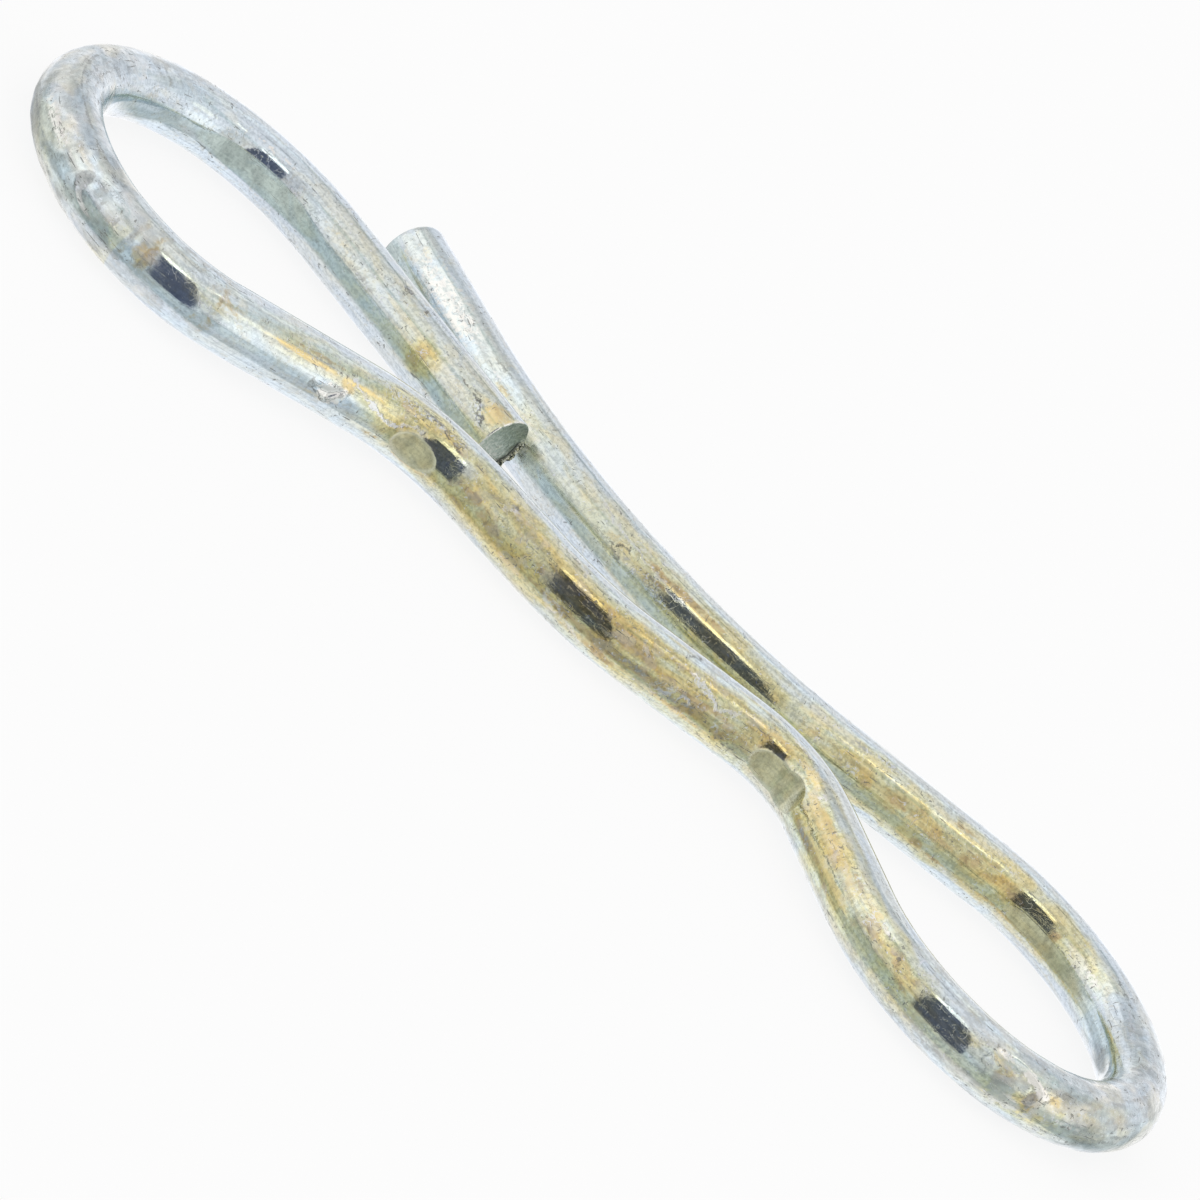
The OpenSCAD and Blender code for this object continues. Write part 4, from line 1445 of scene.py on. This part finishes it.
# %% Hairlines and cracks
hair_zinc = (0.82, 0.85, 0.92, 1)
crack_dirt = (0.24, 0.24, 0.22, 1)
hair_noise = math_node(plate, "ABSOLUTE", centred(grain(0.9, 0.9, 2, 0.5, 1.6, 93.0), 0.5))
hair_places = mottle(0.6, 0.8, 95.0, 2, 0.5, 0.3, 0.53, 0.63)
hairs = times(step_up(plate, hair_noise, 0.010, 0.004), hair_places)
colour = covered(colour, hairs, 0.6, hair_zinc)
crack_noise = math_node(plate, "ABSOLUTE", centred(grain(0.6, 1.6, 3, 0.6, 2.0, 96.0), 0.5))
crack_places = mottle(0.5, 0.8, 98.0, 2, 0.5, 0.3, 0.54, 0.62)
cracks = times(step_up(plate, crack_noise, 0.008, 0.003), crack_places)
colour = covered(colour, cracks, 0.65, crack_dirt)
print(f"{len(plate.nodes)} nodes with hairlines and cracks")

# %% [markdown]
# ### Tool marks
# A hard pin burnished the film in the marks: they are smoother, a little greyer and smudged. A bright line of
# straw colour is painted along their rim as a highlight.

# %% Burnished marks and the painted highlight on their rim
straw_rim_highlight = (0.92, 0.87, 0.68, 1)
pressed_mask = painted("pressed")
pressed_shades = ramp(plate, film_field, [
    (0.05, (0.675, 0.750, 0.730)), (0.28, (0.715, 0.690, 0.535)), (0.50, (0.690, 0.630, 0.415)),
    (0.75, (0.700, 0.605, 0.345))])
smudge = ramp(plate, mottle(0.9, 0.9, 61.0, 3), [(0.0, (0.84, 0.84, 0.84)), (1.0, (1.12, 1.12, 1.12))])
for share, tints in ((1.0, smudge), (0.25, hue), (0.6, shade), (0.6, lines_along)):
    pressed_shades = tinted(pressed_shades, share, tints)
colour = covered(colour, pressed_mask, 0.85, pressed_shades)
# painted highlight: a bright straw line along the rim of each mark
rim_highlight_mask = times(painted("rim_highlight"), step_up(plate, blotch, -0.2, 0.4))
colour = covered(colour, rim_highlight_mask, 0.80, straw_rim_highlight)
print(f"{len(plate.nodes)} nodes with the tool marks")

# %% [markdown]
# ### The cut ends
# A sheared face is torn metal: dark green-grey at the top of the face and pale at the bottom. Its lip gets a
# painted bright highlight, and its burr is a crust of crumbs painted from black to near white, as shade
# between them and highlight on them, with a painted black shadow in the crack behind it.

# %% Cut faces and the lip's painted highlight
cut_mask = painted("cut")
on_face = node(plate, "ShaderNodeSeparateXYZ")
plug(plate, on_wire, on_face.inputs[0])
lower_down = math_node(plate, "MULTIPLY_ADD", on_face.outputs[2], -0.17, 0.42)
to_the_left = math_node(plate, "MULTIPLY_ADD", on_face.outputs[1], 0.05, 0.0)
cut_grain = mottle(6.0, 6.0, 97.0, 3)
cut_shades = ramp(plate, add(lower_down, to_the_left, centred(cut_grain, 0.10)), [
    (0.10, (0.30, 0.36, 0.30)), (0.40, (0.52, 0.58, 0.50)), (0.54, (0.70, 0.72, 0.64)),
    (0.68, (0.92, 0.87, 0.83))])
colour = mix_colour(plate, cut_mask, colour, cut_shades)
# the lip painted near white, as a highlight along its round
lip_highlight = (0.95, 0.94, 0.88, 1)
lip_highlight_mask = times(painted("lip"), step_up(plate, fleck, 0.1, 0.4))
colour = mix_colour(plate, lip_highlight_mask, colour, lip_highlight)
print(f"{len(plate.nodes)} nodes with the cut faces")

# %% Burr, painted in shade and highlight, and the painted shadow in its crack
crumbled = painted("crumbled")
crack_shadow = (0.03, 0.035, 0.03, 1)
crumb_noise = grain(6.0, 6.0, 2, 0.6, 0.5, 101.0)
# crumbs painted from black to near white: shade between them and highlight on their tops
crumb_shade_and_highlight = ramp(plate, crumb_noise, [
    (0.39, (0.03, 0.04, 0.04)), (0.46, (0.24, 0.26, 0.22)), (0.53, (0.74, 0.71, 0.50)),
    (0.60, (0.95, 0.95, 0.88))])
colour = mix_colour(plate, crumbled, colour, crumb_shade_and_highlight)
# painted black shadow in the crack behind the burr
colour = mix_colour(plate, painted("burr_crack_shadow"), colour, crack_shadow)
print(f"{len(plate.nodes)} nodes with the burr")

# %% [markdown]
# ### Drawing the lines
# The stored distance becomes a line wherever it is near zero. Noise makes it wander and breaks it up, and
# the sign of its strength says whether it is a raised bright line or a dark scratch.

# %% Raised lines and scratches
raised_zinc = (0.78, 0.80, 0.86, 1)
scratch_dirt = (0.16, 0.16, 0.15, 1)
line_wander = add(painted("line_offset"), centred(grain(3.0, 3.0, 3, 0.6, 0, 111.0), 0.35))
line_near = math_node(plate, "ABSOLUTE", line_wander)
dark_core = step_up(plate, line_near, 0.080, 0.025)
raised_core = step_up(plate, line_near, 0.125, 0.050)
line_foot = step_up(plate, line_near, 0.18, 0.04)
line_power = painted("line_strength")
broken = step_up(plate, grain(2.6, 2.6, 3, 0.7, 0, 121.0), 0.42, 0.50)
raised_line = times(raised_core, math_node(plate, "MAXIMUM", line_power, 0.0))
raised_line = times(raised_line, math_node(plate, "MULTIPLY_ADD", broken, 0.55, 0.45))
dark_line = times(dark_core, math_node(plate, "MAXIMUM", times(line_power, -1.0), 0.0))
dark_line = times(dark_line, math_node(plate, "MULTIPLY_ADD", broken, 0.75, 0.25))
colour = covered(colour, raised_line, 0.85, raised_zinc)
colour = covered(colour, dark_line, 0.85, scratch_dirt)
plug(plate, colour, shader.inputs["Base Color"])
print(f"colour from {len(plate.nodes)} nodes")

# %% [markdown]
# ### Roughness
# Fresh zinc plate is nearly a mirror. Fibres left by the drawing die, scuffs, stains, the cut faces and the
# burr make it duller, each by its own amount.

# %% Roughness
smoothest = 0.05
fibres = step_up(plate, grain(0.9, 13.0, 2, 0.5, 0.5, 131.0), 0.50, 0.64)
roughness = add(0.070, times(fibres, 0.10), times(scuff_mask, 0.10), times(cut_mask, 0.26),
                times(brown_mask, 0.05), centred(fleck, 0.02), times(crumbled, 0.3),
                times(painted("smeared"), 0.20), times(pressed_mask, 0.06), times(marks, 0.2))
plug(plate, math_node(plate, "MAXIMUM", roughness, smoothest), shader.inputs["Roughness"])
print(f"{len(plate.nodes)} nodes with the roughness")

# %% [markdown]
# ### Bump
# Everything finer than the mesh is bump, with its height in mm. The lines of the drawing die are about a
# micrometre high, and the marks of the tools pressed them flatter. Grain, scuffs, nicks and cracks follow
# the same masks as the colour, so that dirt lies in low places and bright metal on high ones.

# %% Bump
drawn = grain(0.22, 9.0, 3, 0.6, 0.0, 5.0)
soft_cloud = grain(0.55, 0.80, 2, 0.5, 0.6, 44.0)
smooth_here = math_node(plate, "SUBTRACT", 1.0, times(pressed_mask, 0.6))
height = times(centred(drawn, 0.0010), smooth_here)
height = add(height, times(fibres, 0.0005), times(centred(fleck, 0.00022), add(0.35, film_field)))
height = add(height, times(centred(soft_cloud, 0.045), scuffed), times(centred(fleck, 0.0004), scuffed))
height = add(height, times(marks, -0.0030), times(bare_mask, 0.0015), times(pit_mask, -0.003))
height = add(height, times(brown_mask, 0.0005), times(cracks, -0.002), times(hairs, 0.002))
height = add(height, times(raised_line, 0.010), times(dark_line, -0.010))
height = add(height, times(centred(cut_grain, 0.006), cut_mask))
height = add(height, times(centred(crumb_noise, 0.16), crumbled))
height = add(height, times(times(line_foot, line_power), 0.004))
bump = node(plate, "ShaderNodeBump")
bump.inputs["Strength"].default_value = 1.0
bump.inputs["Distance"].default_value = MM
plug(plate, height, bump.inputs["Height"])
plug(plate, bump.outputs[0], shader.inputs["Normal"])
wire_mesh.materials.append(zinc)
print(f"zinc plate with {len(plate.nodes)} nodes")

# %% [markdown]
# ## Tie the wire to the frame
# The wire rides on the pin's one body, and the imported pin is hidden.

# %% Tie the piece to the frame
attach(wire, "root")
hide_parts("wire_pin")
print("wire tied to body root")

# %% [markdown]
# ## Finish
# Standard view keeps colours as they are written.

# %% Finish
view = bpy.context.scene.view_settings
view.view_transform = "Standard"
